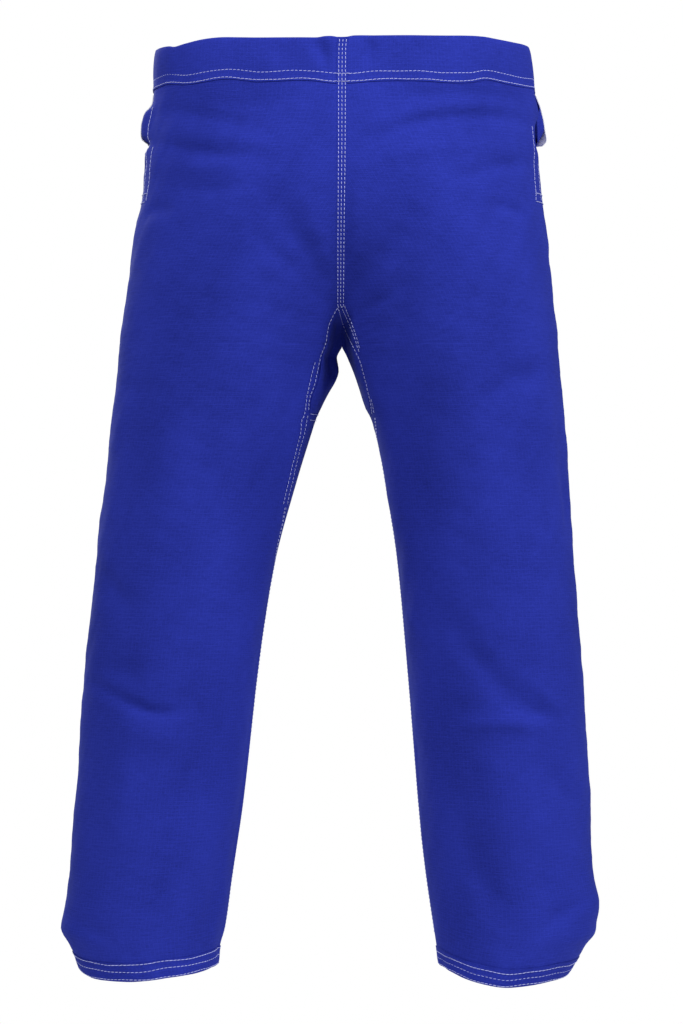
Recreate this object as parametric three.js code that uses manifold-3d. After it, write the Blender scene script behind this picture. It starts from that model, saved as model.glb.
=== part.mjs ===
// Martial arts uniform trousers, in millimetres.
// +Z is up, the wearer faces -Y and the wearer's left leg is on the +X side.
// The origin is the centre of the waist opening, level with the waist's top edge.
//
// Each half of the trousers is one tube. A ring of the tube at height z is an ellipse, and phi runs
// round it: 0 at the side seam, +90 degrees at mid back, -90 at mid front and 180 at the inner leg.
// Above the crotch the two tubes overlap and are cut at x = 0, which gives the centre seams.

import * as THREE from "three";
import { mergeVertices } from "three/addons/utils/BufferGeometryUtils.js";
import Module from "manifold-3d";

const wasm = await Module();
wasm.setup();

// Heights
const BAND_HEIGHT = 44;
const CLEFT_TOP_Z = -40;
const GUSSET_TOP_Z = -276;
const CROTCH_Z = -318;
const GUSSET_END_Z = -392;
const SEAT_END_Z = 2 * CROTCH_Z - GUSSET_END_Z;
const KNEE_START_Z = -525;
const KNEE_END_Z = -715;

// Outlines as [z, distance from x = 0] or [z, half depth], from the top down
const LEFT = {
  name: "left",
  sign: 1,
  hemZ: -986,
  outer: [
    [0, 198], [-75, 212], [-160, 215], [-244, 225], [-400, 246],
    [-640, 272], [-800, 285], [-925, 298], [-955, 291], [-986, 278],
  ],
  inner: [
    [-318, 0], [-345, 14], [-400, 29], [-460, 48], [-545, 71],
    [-650, 88], [-800, 105], [-925, 123], [-986, 135],
  ],
};
const RIGHT = {
  name: "right",
  sign: -1,
  hemZ: -994,
  outer: [
    [0, 199], [-75, 212], [-160, 214], [-244, 223], [-400, 238],
    [-640, 256], [-800, 266], [-905, 275], [-950, 265], [-994, 247],
  ],
  inner: [
    [-318, 0], [-345, 13], [-400, 34], [-460, 46], [-545, 59],
    [-674, 71], [-850, 86], [-994, 107],
  ],
};
const BACK_DEPTH = [
  [0, 118], [-160, 128], [-318, 113], [-400, 106],
  [-525, 96], [-715, 85], [-925, 74], [-994, 68],
];
const FRONT_DEPTH = [
  [0, 112], [-160, 113], [-318, 106], [-400, 102],
  [-525, 94], [-715, 85], [-925, 74], [-994, 68],
];

// Cloth
const WALL = 2;
const GAP = 0.3;
const GUSSET_GAP = 1.5;
const FACET = Math.PI / 10;
const SLIVER = 0.02;
const PANEL_COLUMNS = 10;

// Waistband, a folded strip that leaves a channel for the drawcord
const BAND_OUT = 1.5;
const BAND_IN = -4.5;
const BAND_CLOTH = 1.5;
const CHANNEL_END_Z = -35;
const BAND_FACETS = 20;
const CHANNEL_OVERRUN = 0.01;
const EYELET_X = 18;
const EYELET_Z = -19;
const EYELET_BORE = 3.6;
const EYELET_BODY = 4.9;
const EYELET_FLANGE = 7.4;
const LOOP_X = 62;
const LOOP_WIDTH = 12;
const LOOP_TOP_Z = -5;
const LOOP_HEIGHT = 32;
const LOOP_STAND = 8;
const LOOP_CLOTH = 1.6;
const LOOP_FOOT = 6;

// Trim. Each layer is [inner face, outer face], measured out of the leg panel's outer face.
const TAPE_WIDTH = 12;
const TAPE_CLOTH = 1.2;
const HEM_HEIGHT = 20;
const HEM_LAYER = [-4.3, -2.8];
const HEM_SEAM = THREE.MathUtils.degToRad(0.3);
const PATCH_TOP_Z = -48;
const PATCH_END_Z = -103;
const PATCH_LAYER = [1.2, 2.4];
const PATCH_NEAR = THREE.MathUtils.degToRad(3);
const PATCH_FAR = THREE.MathUtils.degToRad(52);
const FACING_END_Z = -166;
const FACING_LAYER = [-4.8, -3.6];
const FACING_REACH = THREE.MathUtils.degToRad(7);
const KNEE_PATCH_TOP_Z = -460;
const KNEE_PATCH_END_Z = -706;
const KNEE_PATCH_LAYER = [0.6, 2.1];

// Gusset: the angle of its side edges, how far along them its blunt corners are, and its cut points
const GUSSET_EDGE = THREE.MathUtils.degToRad(151);
const GUSSET_CORNER = 0.7;
const GUSSET_POINT = 0.04;

// Colours, linear from sRGB hex
const cloth = new THREE.MeshStandardMaterial({ color: "#2a3491", roughness: 0.85, metalness: 0 });
const white = new THREE.MeshStandardMaterial({ color: "#d8d8e6", roughness: 0.8, metalness: 0 });

/** Value at height z of the smooth curve through [z, value] points listed from the top down. */
function along(points, z) {
  const last = points.length - 1;
  let i = 0;
  while (i < last - 1 && z < points[i + 1][0]) i += 1;
  const slope = (j) => {
    const above = points[Math.max(j - 1, 0)];
    const below = points[Math.min(j + 1, last)];
    return (below[1] - above[1]) / (below[0] - above[0]);
  };
  const [topZ, top] = points[i];
  const [endZ, end] = points[i + 1];
  const span = endZ - topZ;
  const t = THREE.MathUtils.clamp((z - topZ) / span, 0, 1);
  const smooth = t * t * (3 - 2 * t);
  const tangents = slope(i) * (t - 1) * (t - 1) * t + slope(i + 1) * t * t * (t - 1);
  return top + (end - top) * smooth + span * tangents;
}

/** How deeply the two tubes are parted at height z: 0 is one oval, 1 is two separate legs. */
function parting(z) {
  const t = THREE.MathUtils.clamp((CLEFT_TOP_Z - z) / (CLEFT_TOP_Z - CROTCH_Z), 0, 1);
  return t * t;
}

/** Centre and half width of a side's ring at height z. */
function ring(side, z) {
  const outer = along(side.outer, z);
  if (z > CROTCH_Z) {
    const half = outer / (1 + parting(z));
    return { centre: outer - half, half };
  }
  const inner = along(side.inner, z);
  return { centre: (outer + inner) / 2, half: (outer - inner) / 2 };
}

/** Point of a side's surface, moved out of the cloth by "out". */
function onSide(side, phi, z, out = 0) {
  const { centre, half } = ring(side, z);
  const depth = along(phi > 0 && phi < Math.PI ? BACK_DEPTH : FRONT_DEPTH, z);
  const x = Math.max(0, centre + (half + out) * Math.cos(phi));
  return new THREE.Vector3(side.sign * x, (depth + out) * Math.sin(phi), z);
}

/** Angle at which a side's ring meets the centre plane. */
function centreAngle(z) {
  return Math.acos(-parting(z));
}

/** Angle of the panel edge that faces the other side: centre seam, gusset edge or inner leg. */
function innerAngle(z, zoneTopZ) {
  if (z >= GUSSET_TOP_Z) return centreAngle(z);
  return zoneTopZ <= GUSSET_END_Z ? Math.PI : gussetAngle(z);
}

/** Angle of the gusset's edge, from its point at the centre seam to its blunt end on the thigh. */
function gussetAngle(z) {
  const t = THREE.MathUtils.clamp((GUSSET_TOP_Z - z) / (GUSSET_TOP_Z - CROTCH_Z), 0, 1);
  return THREE.MathUtils.lerp(centreAngle(GUSSET_TOP_Z), GUSSET_EDGE, t);
}

/** Closed geometry from points and triangles, turned so that its faces point out. */
function closed(points, triangles) {
  let volume = 0;
  for (const [a, b, c] of triangles) {
    volume += points[a].dot(points[b].clone().cross(points[c]));
  }
  const faces = volume < 0 ? triangles.map(([a, b, c]) => [a, c, b]) : triangles;
  const geometry = new THREE.BufferGeometry().setFromPoints(points);
  geometry.setIndex(faces.flat());
  geometry.computeVertexNormals();
  return geometry;
}

/** A closed plate: point(column, row, layer) gives its inner (0) and outer (1) faces. */
function plate(point, columns, rows) {
  const points = [];
  const triangles = [];
  const id = (i, j, layer) => (layer * (rows + 1) + j) * (columns + 1) + i;
  const quad = (a, b, c, d) => triangles.push([a, b, c], [a, c, d]);
  for (let layer = 0; layer < 2; layer += 1) {
    for (let j = 0; j <= rows; j += 1) {
      for (let i = 0; i <= columns; i += 1) points.push(point(i, j, layer));
    }
  }
  for (let j = 0; j < rows; j += 1) {
    for (let i = 0; i < columns; i += 1) {
      quad(id(i, j, 1), id(i + 1, j, 1), id(i + 1, j + 1, 1), id(i, j + 1, 1));
      quad(id(i, j, 0), id(i, j + 1, 0), id(i + 1, j + 1, 0), id(i + 1, j, 0));
    }
    quad(id(0, j, 0), id(0, j, 1), id(0, j + 1, 1), id(0, j + 1, 0));
    quad(id(columns, j, 0), id(columns, j + 1, 0), id(columns, j + 1, 1), id(columns, j, 1));
  }
  for (let i = 0; i < columns; i += 1) {
    quad(id(i, 0, 0), id(i + 1, 0, 0), id(i + 1, 0, 1), id(i, 0, 1));
    quad(id(i, rows, 0), id(i, rows, 1), id(i + 1, rows, 1), id(i + 1, rows, 0));
  }
  return closed(points, triangles);
}

/** The facet angles between two angles, with both ends. */
function facets(from, to, step) {
  const angles = [from];
  for (let k = Math.ceil(from / step); k * step < to; k += 1) {
    if (k * step > from + SLIVER && k * step < to - SLIVER) angles.push(k * step);
  }
  angles.push(to);
  return angles;
}

/** A strip of cloth on one side between two angles, with rows at the given heights. */
function strip(side, from, to, heights, faces, step = FACET) {
  const angles = facets(from, to, step);
  const point = (i, j, layer) => onSide(side, angles[i], heights[j], faces[layer]);
  return plate(point, angles.length - 1, heights.length - 1);
}

/** Heights of a zone of the tube, with a small gap to the zones above and below. */
function zoneHeights(levels) {
  const heights = [...levels];
  heights[0] -= GAP / 2;
  heights[heights.length - 1] += GAP / 2;
  return heights;
}

/** Levels of each zone of the tube, from the waist down. Only the hip and the knee zones fold. */
function zones(side) {
  return {
    seat: [-BAND_HEIGHT, -110, -180, SEAT_END_Z],
    hip: [SEAT_END_Z, GUSSET_TOP_Z, -297, CROTCH_Z, -332, -350, -370, GUSSET_END_Z],
    thigh: [GUSSET_END_Z, KNEE_PATCH_TOP_Z, KNEE_START_Z],
    knee: [KNEE_START_Z, -572, -620, -668, KNEE_END_Z],
    shin: [KNEE_END_Z, -800, -880, -925, -955, side.hemZ],
  };
}

/** One cloth panel: a front or back half of one zone on one side. */
function panel(side, isBack, levels) {
  const heights = zoneHeights(levels);
  const point = (i, j, layer) => {
    const z = heights[j];
    const { half } = ring(side, z);
    const first = GAP / half;
    const margin = levels[0] === SEAT_END_Z ? GUSSET_GAP : 1.5 * GAP;
    const edge = innerAngle(z, levels[0]) - margin / half;
    const angle = THREE.MathUtils.lerp(first, edge, i / PANEL_COLUMNS);
    return onSide(side, isBack ? angle : -angle, z, layer ? 0 : -WALL);
  };
  return plate(point, PANEL_COLUMNS, heights.length - 1);
}

/** Edge of the gusset on one side at t, 0 at the back point, 0.5 on the inner leg, 1 at the front. */
function gussetEdge(t) {
  const isBack = t <= 0.5;
  const fromPoint = 2 * (isBack ? t : 1 - t);
  const down = Math.min(fromPoint / GUSSET_CORNER, 1);
  const across = Math.max((fromPoint - GUSSET_CORNER) / (1 - GUSSET_CORNER), 0);
  const z = THREE.MathUtils.lerp(GUSSET_TOP_Z, GUSSET_END_Z, down);
  const angle = THREE.MathUtils.lerp(gussetAngle(z), Math.PI, across);
  return { z: z + GAP, angle, isBack };
}

/** Gusset between the legs: pointed at the front and back, blunt on each inner thigh. */
function gusset() {
  const columns = 20;
  const rows = 8;
  const point = (i, j, layer) => {
    const t = THREE.MathUtils.lerp(GUSSET_POINT, 1 - GUSSET_POINT, i / columns);
    const across = (2 * j) / rows - 1;
    const side = across < 0 ? RIGHT : LEFT;
    const s = Math.abs(across);
    const edge = gussetEdge(t);
    const spineZ = THREE.MathUtils.lerp(GUSSET_TOP_Z, CROTCH_Z, Math.sin(Math.PI * t));
    const spineAngle = centreAngle(spineZ);
    const z = THREE.MathUtils.lerp(spineZ, edge.z, s);
    const angle = THREE.MathUtils.lerp(spineAngle, edge.angle, s) * (edge.isBack ? 1 : -1);
    const inward = new THREE.Vector3(0, -Math.sin(angle), -Math.cos(angle));
    const level = new THREE.Vector3(-side.sign * Math.cos(angle), -Math.sin(angle), 0);
    const depth = layer ? 0 : WALL;
    const surface = onSide(side, angle, z);
    if (s === 0) surface.x = 0;
    return surface.addScaledVector(inward.lerp(level, s).normalize(), depth);
  };
  return plate(point, columns, rows);
}

/** Point of the waist oval at angle theta, counter-clockwise from the wearer's left. */
function onWaist(theta, z, out) {
  const side = Math.cos(theta) >= 0 ? LEFT : RIGHT;
  const phi = Math.atan2(Math.sin(theta), Math.abs(Math.cos(theta)));
  return onSide(side, phi, z, out);
}

/** A closed block swept round the waist between two angles, heights and offsets. */
function waistBlock(from, to, topZ, endZ, inside, outside) {
  const point = (i, j, layer) => {
    const theta = THREE.MathUtils.lerp(from, to, i / BAND_FACETS);
    return onWaist(theta, j ? endZ : topZ, layer ? outside : inside);
  };
  return plate(point, BAND_FACETS, 1);
}

/** Manifold solid of a closed geometry. */
function toSolid(geometry) {
  const bare = geometry.clone();
  bare.deleteAttribute("normal");
  bare.deleteAttribute("uv");
  const merged = mergeVertices(bare, 1e-4);
  const mesh = new wasm.Mesh({
    numProp: 3,
    vertProperties: new Float32Array(merged.attributes.position.array),
    triVerts: new Uint32Array(merged.index.array),
  });
  return new wasm.Manifold(mesh);
}

/** Three.js geometry of a manifold solid. */
function toGeometry(solid) {
  const mesh = solid.getMesh();
  const geometry = new THREE.BufferGeometry();
  geometry.setAttribute("position", new THREE.BufferAttribute(mesh.vertProperties, 3));
  geometry.setIndex(new THREE.BufferAttribute(mesh.triVerts, 1));
  geometry.computeVertexNormals();
  return geometry;
}

/** Half of the waistband, hollow where the drawcord runs. The channel is open at both ends. */
function waistband(from, to) {
  const halfGap = GAP / 2 / LEFT.outer[0][1];
  const whole = waistBlock(from + halfGap, to - halfGap, 0, GAP / 2 - BAND_HEIGHT, BAND_IN, BAND_OUT);
  const channelIn = BAND_IN + BAND_CLOTH;
  const channelOut = BAND_OUT - BAND_CLOTH;
  const channelFrom = from - CHANNEL_OVERRUN;
  const channelTo = to + CHANNEL_OVERRUN;
  const channel = waistBlock(channelFrom, channelTo, -BAND_CLOTH, CHANNEL_END_Z, channelIn, channelOut);
  return toSolid(whole).subtract(toSolid(channel));
}

/** Place of something on the front of the waistband at x, facing out along its local -Y. */
function frontFrame(x, z, out) {
  const width = LEFT.outer[0][1];
  const phi = -Math.acos(x / width);
  const spot = onWaist(phi, z, out);
  const depth = FRONT_DEPTH[0][1];
  const turn = Math.atan2(x / (width * width), -Math.sin(phi) / depth);
  return { spot, turn };
}

/** Geometry moved to a place on the front of the waistband. */
function atFront(geometry, x, z, out) {
  const { spot, turn } = frontFrame(x, z, out);
  geometry.rotateZ(turn);
  geometry.translate(spot.x, spot.y, spot.z);
  return geometry;
}

/** Front half of the waistband with the two holes that the drawcord comes out of. */
function frontWaistband() {
  let solid = waistband(Math.PI, 2 * Math.PI);
  for (const x of [-EYELET_X, EYELET_X]) {
    const hole = new THREE.CylinderGeometry(EYELET_BODY + GAP, EYELET_BODY + GAP, 5, 20);
    solid = solid.subtract(toSolid(atFront(hole, x, EYELET_Z, BAND_OUT)));
  }
  return toGeometry(solid);
}

/** Sewn eyelet in the outer layer of the waistband. */
function eyelet(x) {
  const profile = [
    [EYELET_BORE, -1.3],
    [EYELET_BODY, -1.3],
    [EYELET_BODY, 0.5],
    [EYELET_FLANGE, 0.5],
    [EYELET_FLANGE - 0.6, 1.5],
    [EYELET_BORE + 0.6, 1.5],
    [EYELET_BORE, -1.3],
  ];
  const points = profile.map(([radius, out]) => new THREE.Vector2(radius, out));
  const turned = mergeVertices(withPositionOnly(new THREE.LatheGeometry(points, 20)), 1e-4);
  turned.rotateX(Math.PI);
  return outward(atFront(turned, x, EYELET_Z, BAND_OUT));
}

/** The geometry with its normals and texture coordinates taken off. */
function withPositionOnly(geometry) {
  geometry.deleteAttribute("normal");
  geometry.deleteAttribute("uv");
  return geometry;
}

/** The geometry with its faces turned to point out, and without collapsed triangles. */
function outward(geometry) {
  const position = geometry.attributes.position;
  const points = [];
  for (let i = 0; i < position.count; i += 1) {
    points.push(new THREE.Vector3().fromBufferAttribute(position, i));
  }
  const triangles = [];
  for (let i = 0; i < geometry.index.count; i += 3) {
    const [a, b, c] = [0, 1, 2].map((k) => geometry.index.getX(i + k));
    if (a !== b && b !== c && c !== a) triangles.push([a, b, c]);
  }
  return closed(points, triangles);
}

/** Cloth loop on the front of the waistband that keeps the drawcord's bow in place. */
function cordLoop(x) {
  const outline = new THREE.Shape();
  outline.moveTo(0, 0);
  outline.lineTo(LOOP_CLOTH, 0);
  outline.lineTo(LOOP_STAND + LOOP_CLOTH, -LOOP_FOOT);
  outline.lineTo(LOOP_STAND + LOOP_CLOTH, LOOP_FOOT - LOOP_HEIGHT);
  outline.lineTo(LOOP_CLOTH, -LOOP_HEIGHT);
  outline.lineTo(0, -LOOP_HEIGHT);
  outline.lineTo(0, LOOP_FOOT - 2 * LOOP_CLOTH - LOOP_HEIGHT);
  outline.lineTo(LOOP_STAND, LOOP_FOOT + LOOP_CLOTH - LOOP_HEIGHT);
  outline.lineTo(LOOP_STAND, -LOOP_FOOT - LOOP_CLOTH);
  outline.lineTo(0, 2 * LOOP_CLOTH - LOOP_FOOT);
  outline.closePath();
  const geometry = new THREE.ExtrudeGeometry(outline, { depth: LOOP_WIDTH, bevelEnabled: false });
  // The outline's x becomes -Y, its y becomes +Z and the extrusion runs along X.
  const turn = new THREE.Matrix4().makeBasis(
    new THREE.Vector3(0, -1, 0),
    new THREE.Vector3(0, 0, 1),
    new THREE.Vector3(-1, 0, 0),
  );
  geometry.applyMatrix4(turn);
  geometry.translate(LOOP_WIDTH / 2, 0, 0);
  const merged = mergeVertices(withPositionOnly(geometry), 1e-4);
  return outward(atFront(merged, x, LOOP_TOP_Z, BAND_OUT + 4 * GAP));
}

/** Tape inside the centre seam, down to the gusset's point. */
function centreTape(isBack) {
  const heights = [-BAND_HEIGHT - 1, -110, -180, SEAT_END_Z, GUSSET_TOP_Z + 5];
  const point = (i, j, layer) => {
    const z = heights[j];
    const depth = Math.abs(onSide(LEFT, centreAngle(z) * (isBack ? 1 : -1), z).y);
    const y = depth - 2 * WALL + (layer ? TAPE_CLOTH : 0);
    return new THREE.Vector3((i - 0.5) * TAPE_WIDTH, isBack ? y : -y, z);
  };
  return plate(point, 1, heights.length - 1);
}

/** White woven patch on the front panel, beside the side slit. */
function hipPatch(side) {
  return strip(side, -PATCH_FAR, -PATCH_NEAR, [PATCH_TOP_Z, PATCH_END_Z], PATCH_LAYER, FACET / 2);
}

/** Facing inside the side slit. */
function sideFacing(side) {
  const heights = [-BAND_HEIGHT - 1, -110, FACING_END_Z];
  return strip(side, -FACING_REACH, FACING_REACH, heights, FACING_LAYER);
}

/** Reinforcing patch over the front of the knee. */
function kneePatch(side) {
  const heights = [KNEE_PATCH_TOP_Z, KNEE_START_Z, -572, -620, -668, KNEE_PATCH_END_Z];
  return strip(side, -8 * FACET, -2 * FACET, heights, KNEE_PATCH_LAYER);
}

/** Turned-up hem inside one half of a cuff. */
function hem(side, isBack) {
  const from = isBack ? HEM_SEAM : HEM_SEAM - Math.PI;
  const heights = [side.hemZ + HEM_HEIGHT, side.hemZ + GAP];
  return strip(side, from, from + Math.PI - 2 * HEM_SEAM, heights, HEM_LAYER);
}

const trousers = new THREE.Group();

/** Adds one named sub-part. */
function add(name, geometry, material) {
  const mesh = new THREE.Mesh(geometry, material);
  mesh.name = name;
  trousers.add(mesh);
}

for (const side of [LEFT, RIGHT]) {
  for (const [zone, levels] of Object.entries(zones(side))) {
    add(`${zone}_back_${side.name}`, panel(side, true, levels), cloth);
    add(`${zone}_front_${side.name}`, panel(side, false, levels), cloth);
  }
  add(`hem_back_${side.name}`, hem(side, true), cloth);
  add(`hem_front_${side.name}`, hem(side, false), cloth);
  add(`knee_patch_${side.name}`, kneePatch(side), cloth);
  add(`side_facing_${side.name}`, sideFacing(side), cloth);
  add(`hip_patch_${side.name}`, hipPatch(side), white);
  add(`cord_loop_${side.name}`, cordLoop(side.sign * LOOP_X), cloth);
  add(`cord_eyelet_${side.name}`, eyelet(side.sign * EYELET_X), white);
}
add("gusset", gusset(), cloth);
add("waistband_back", toGeometry(waistband(0, Math.PI)), cloth);
add("waistband_front", frontWaistband(), cloth);
add("centre_tape_back", centreTape(true), cloth);
add("centre_tape_front", centreTape(false), cloth);

export default trousers;
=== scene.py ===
"""Martial arts uniform trousers in royal-blue ripstop cotton, hanging as if worn, seen from behind."""

import math

import bpy
import numpy as np
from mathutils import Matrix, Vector
from mathutils.kdtree import KDTree


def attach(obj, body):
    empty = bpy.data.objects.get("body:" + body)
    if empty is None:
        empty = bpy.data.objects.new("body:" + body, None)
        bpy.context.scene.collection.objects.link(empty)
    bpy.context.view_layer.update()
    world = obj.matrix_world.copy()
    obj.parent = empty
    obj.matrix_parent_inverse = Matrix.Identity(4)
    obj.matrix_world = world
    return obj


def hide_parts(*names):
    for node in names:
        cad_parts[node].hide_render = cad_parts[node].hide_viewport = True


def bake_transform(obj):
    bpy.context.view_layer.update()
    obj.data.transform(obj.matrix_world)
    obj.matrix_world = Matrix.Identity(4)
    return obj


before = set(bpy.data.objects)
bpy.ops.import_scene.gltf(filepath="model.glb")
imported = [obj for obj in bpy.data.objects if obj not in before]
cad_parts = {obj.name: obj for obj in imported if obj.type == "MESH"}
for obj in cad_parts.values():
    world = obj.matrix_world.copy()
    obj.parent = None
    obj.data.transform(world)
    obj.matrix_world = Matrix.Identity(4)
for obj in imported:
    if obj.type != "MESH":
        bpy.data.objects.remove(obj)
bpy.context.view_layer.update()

MM = 0.001

# Heights in millimetres, as in the CAD model: z is 0 at the waist's top edge.
BAND_HEIGHT = 46.5
CLEFT_TOP_Z = -40                       # the legs start to part
GUSSET_TOP_Z = -276
CROTCH_Z = -318
GUSSET_END_Z = -392
SPLIT_Z = -488                          # a leg's upper and lower sheets meet
PANEL_TOP_Z = -38

BACK = 1
FRONT = -1
FACE_NAMES = {BACK: "back", FRONT: "front"}

# The two halves of the garment. outer and inner are the leg's outlines seen from behind, as (z, distance
# from the centre plane), and sag is how far the inner one sags towards that plane, as (z, distance).
# hem_rise is how far the hem rises round the leg, as (place, rise): place is 1 outside and -1 inside.
# hem_rows are the heights of the hem's rows of stitches above its edge.
LEFT = {
    "name": "left",
    "sign": 1,
    "hem": -987.5,
    "hem_rise": [
        (-1, 10), (-0.7, 6), (-0.37, 3.5), (0, 0.2), (0.3, -1.2), (0.77, -0.6), (0.9, 1.5), (1, 4.5),
    ],
    "hem_rows": (18, 10.5, 1.9),
    "outer": [
        (0, 198), (-54, 202), (-88, 205.5), (-112, 208.2), (-132, 208.6), (-158, 211), (-170, 213.4),
        (-186, 218.2), (-244, 225.5), (-400, 246), (-640, 272), (-800, 285), (-888, 293), (-918, 297),
        (-936, 300.3), (-943, 298.6), (-955, 291.5), (-967, 285.8), (-987.5, 278),
    ],
    "inner": [
        (-318, 0), (-338, 9.5), (-360, 17), (-380, 23.5), (-400, 29.5), (-460, 48), (-545, 71),
        (-650, 88), (-800, 105), (-888, 118), (-937, 124.9), (-958, 130.5), (-987.5, 134),
    ],
    "sag": [(-318, 0), (-328, -1), (-336, 3.5), (-344, 7.5), (-354, 7.5), (-368, 4), (-385, 1), (-400, 0)],
}
RIGHT = {
    "name": "right",
    "sign": -1,
    "hem": -994,
    "hem_rise": [
        (-1, 16.5), (-0.88, 13), (-0.67, 7), (-0.3, 1.6), (0, -0.6), (0.31, 0.4), (0.6, 2.4), (1, 5),
    ],
    "hem_rows": (15.2, 8.7, 1.9),
    "outer": [
        (0, 199), (-54, 207), (-109, 210), (-160, 214), (-244, 223), (-400, 238),
        (-640, 256), (-800, 266), (-870, 269.5), (-888, 271.5), (-906, 277.2), (-918, 277.4),
        (-931, 275.4), (-945, 272.6), (-955, 264), (-965, 257.3), (-975, 250.8), (-994, 236.5),
    ],
    "inner": [
        (-318, 0), (-338, 9), (-380, 26), (-400, 34), (-460, 46), (-545, 59),
        (-674, 71), (-850, 86), (-964, 102), (-994, 107),
    ],
    "sag": [(-318, 0), (-330, -1.5), (-400, 0)],
}
SIDES = (LEFT, RIGHT)
# How far each face of the cloth stands from the plane of the hinges, as (z, depth)
DEPTH = {
    BACK: [
        (0, 118), (-160, 128), (-318, 113), (-400, 106), (-525, 96), (-715, 85),
        (-925, 74), (-994, 68),
    ],
    FRONT: [
        (0, 112), (-160, 113), (-318, 106), (-400, 102), (-525, 94), (-715, 85),
        (-925, 74), (-994, 68),
    ],
}
CLOTH = 0.8                             # thickness
WAIST_HALF = 200                        # about half the width of the waist
HEM_TILT_Z = -800                       # the cloth starts to rise towards the hem's sides here

# The parting of the legs
PARTING_EARLY = 0.87                    # how far the parting runs ahead of a plain square curve
CLEFT_RADIUS = 16                       # the groove at the centre seam is rounded off this far
STEEPEST_CLEFT = 1.1                    # slope of the groove's sides, at most
INNER_SLACK = 20                        # folds don't push sideways nearer to the centre plane than this
SAG_REACH = 0.8                         # the inner leg sags where minus the angle's cosine is above this

# The gusset sinks in between the legs, from one height to the next at its top and its end
GUSSET_RECESS = 30
RECESS_TOP = (-281, -297)
RECESS_END = (-370, -336)
RECESS_EDGE = 7                         # width of the slope at the gusset's edge
RECESS_FADE = 15                        # width of the slope over on the other leg
RECESS_SHARE = 0.7                      # share of the cloth's own depth, at most

# Camera, light and floor, in metres
CAMERA_X = 0.0005
CAMERA_DISTANCE = 3.95
CAMERA_HEIGHT = -0.494
CAMERA_LENS = 129.8
CAMERA_SENSOR = 36
FILL = 0.38
# Name, place, size, power in watts, and the point that the light faces
LIGHTS = [
    ("key", (-2.5, 1.6, 1.3), 1.2, 84, (0, 0, 0)),
    ("top", (0.95, 1.7, 1.5), 1.2, 47, (0, 0, 0)),
    ("far_side", (1.6, -3.0, 1.2), 2.0, 80, (0, 0, -0.5)),
]
FLOOR_Z = -1.145
FLOOR_RADIUS = 0.7
FLOOR_GREY = 0.8


# ---------------------------------------------------------------- curves and surface

def along(points, at):
    """Value at `at` of the smooth curve through (place, value) points."""
    points = sorted(points)
    places = np.array([p[0] for p in points], float)
    values = np.array([p[1] for p in points], float)
    last = len(points) - 1
    before = np.maximum(np.arange(last + 1) - 1, 0)
    after = np.minimum(np.arange(last + 1) + 1, last)
    slopes = (values[after] - values[before]) / (places[after] - places[before])
    at = np.asarray(at, float)
    i = np.clip(np.searchsorted(places, at) - 1, 0, last - 1)
    span = places[i + 1] - places[i]
    t = np.clip((at - places[i]) / span, 0, 1)
    smooth = t * t * (3 - 2 * t)
    tangents = slopes[i] * (t - 1) ** 2 * t + slopes[i + 1] * t * t * (t - 1)
    return values[i] + (values[i + 1] - values[i]) * smooth + span * tangents


def ease(x, low, high):
    """0 below low, 1 above high, smooth between."""
    t = np.clip((x - low) / (high - low), 0, 1)
    return t * t * (3 - 2 * t)


def unit(vectors):
    """The vectors scaled to length 1. A vector of length 0 stays so."""
    return vectors / np.maximum(np.linalg.norm(vectors, axis=-1, keepdims=True), 1e-9)


def smooth_line(path, steps=120):
    """Two arrays: the coordinates of a smooth line through the path's points."""
    knots = np.linspace(0, 1, len(path))
    t = np.linspace(0, 1, steps)
    return [along(list(zip(knots, [p[k] for p in path])), t) for k in range(2)]


def parting(z):
    """How deeply the two legs are parted at height z: 0 is one oval, 1 is two legs."""
    down = np.clip((CLEFT_TOP_Z - z) / (CLEFT_TOP_Z - CROTCH_Z), 0, 1)
    return down ** 2 * (1 + PARTING_EARLY - PARTING_EARLY * down)


def ring(side, z):
    """Centre and half width of a side's ring at height z."""
    outer = along(side["outer"], z)
    inner = along(side["inner"], z)
    above = outer / (1 + parting(z))
    is_above = z > CROTCH_Z
    half = np.where(is_above, above, (outer - inner) / 2)
    return outer - half, half


def centre_angle(z):
    """Angle at which a ring meets the centre plane, or the inner leg below the crotch."""
    return np.arccos(-parting(z))


def angle_at(side, x, z):
    """Angle of the point of a side's ring whose distance from the centre plane is x."""
    centre, half = ring(side, z)
    return np.arccos(np.clip((np.abs(x) - centre) / half, -1, 1))


def girth(side, face, z):
    """Mean radius of a side's ring, which turns angles into lengths along the cloth."""
    half = ring(side, z)[1]
    return (half + along(DEPTH[face], z)) / 2


# Edge of the gusset on each leg as (z, distance from the centre plane)
GUSSET_EDGE = {
    "left": [
        (-392, 35.5), (-376, 34.3), (-359, 29.8), (-336, 24), (-317, 17.2), (-307, 15), (-295, 11.5),
        (-285, 6), (-279, 1.5),
    ],
    "right": [
        (-392, 32), (-376, 30), (-357, 25.5), (-341, 22), (-327, 18), (-321, 12.5), (-302, 3),
        (-290, 1.2), (-279, 0.5),
    ],
}


def gusset_recess(x, z, depth):
    """How far the gusset sinks in at places x and z, mostly on the left leg. depth is the cloth's own."""
    edge = along(GUSSET_EDGE["left"], z)
    deepest = GUSSET_RECESS * ease(z, *RECESS_TOP) * ease(z, *RECESS_END)
    sunk = deepest * ease(x, edge, edge - RECESS_EDGE) * ease(x, -RECESS_FADE, 0)
    return np.minimum(sunk, RECESS_SHARE * depth)


# ---------------------------------------------------------------- folds

WAVE_COUNT = 10
WAVE_SPREAD = 3.2
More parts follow.
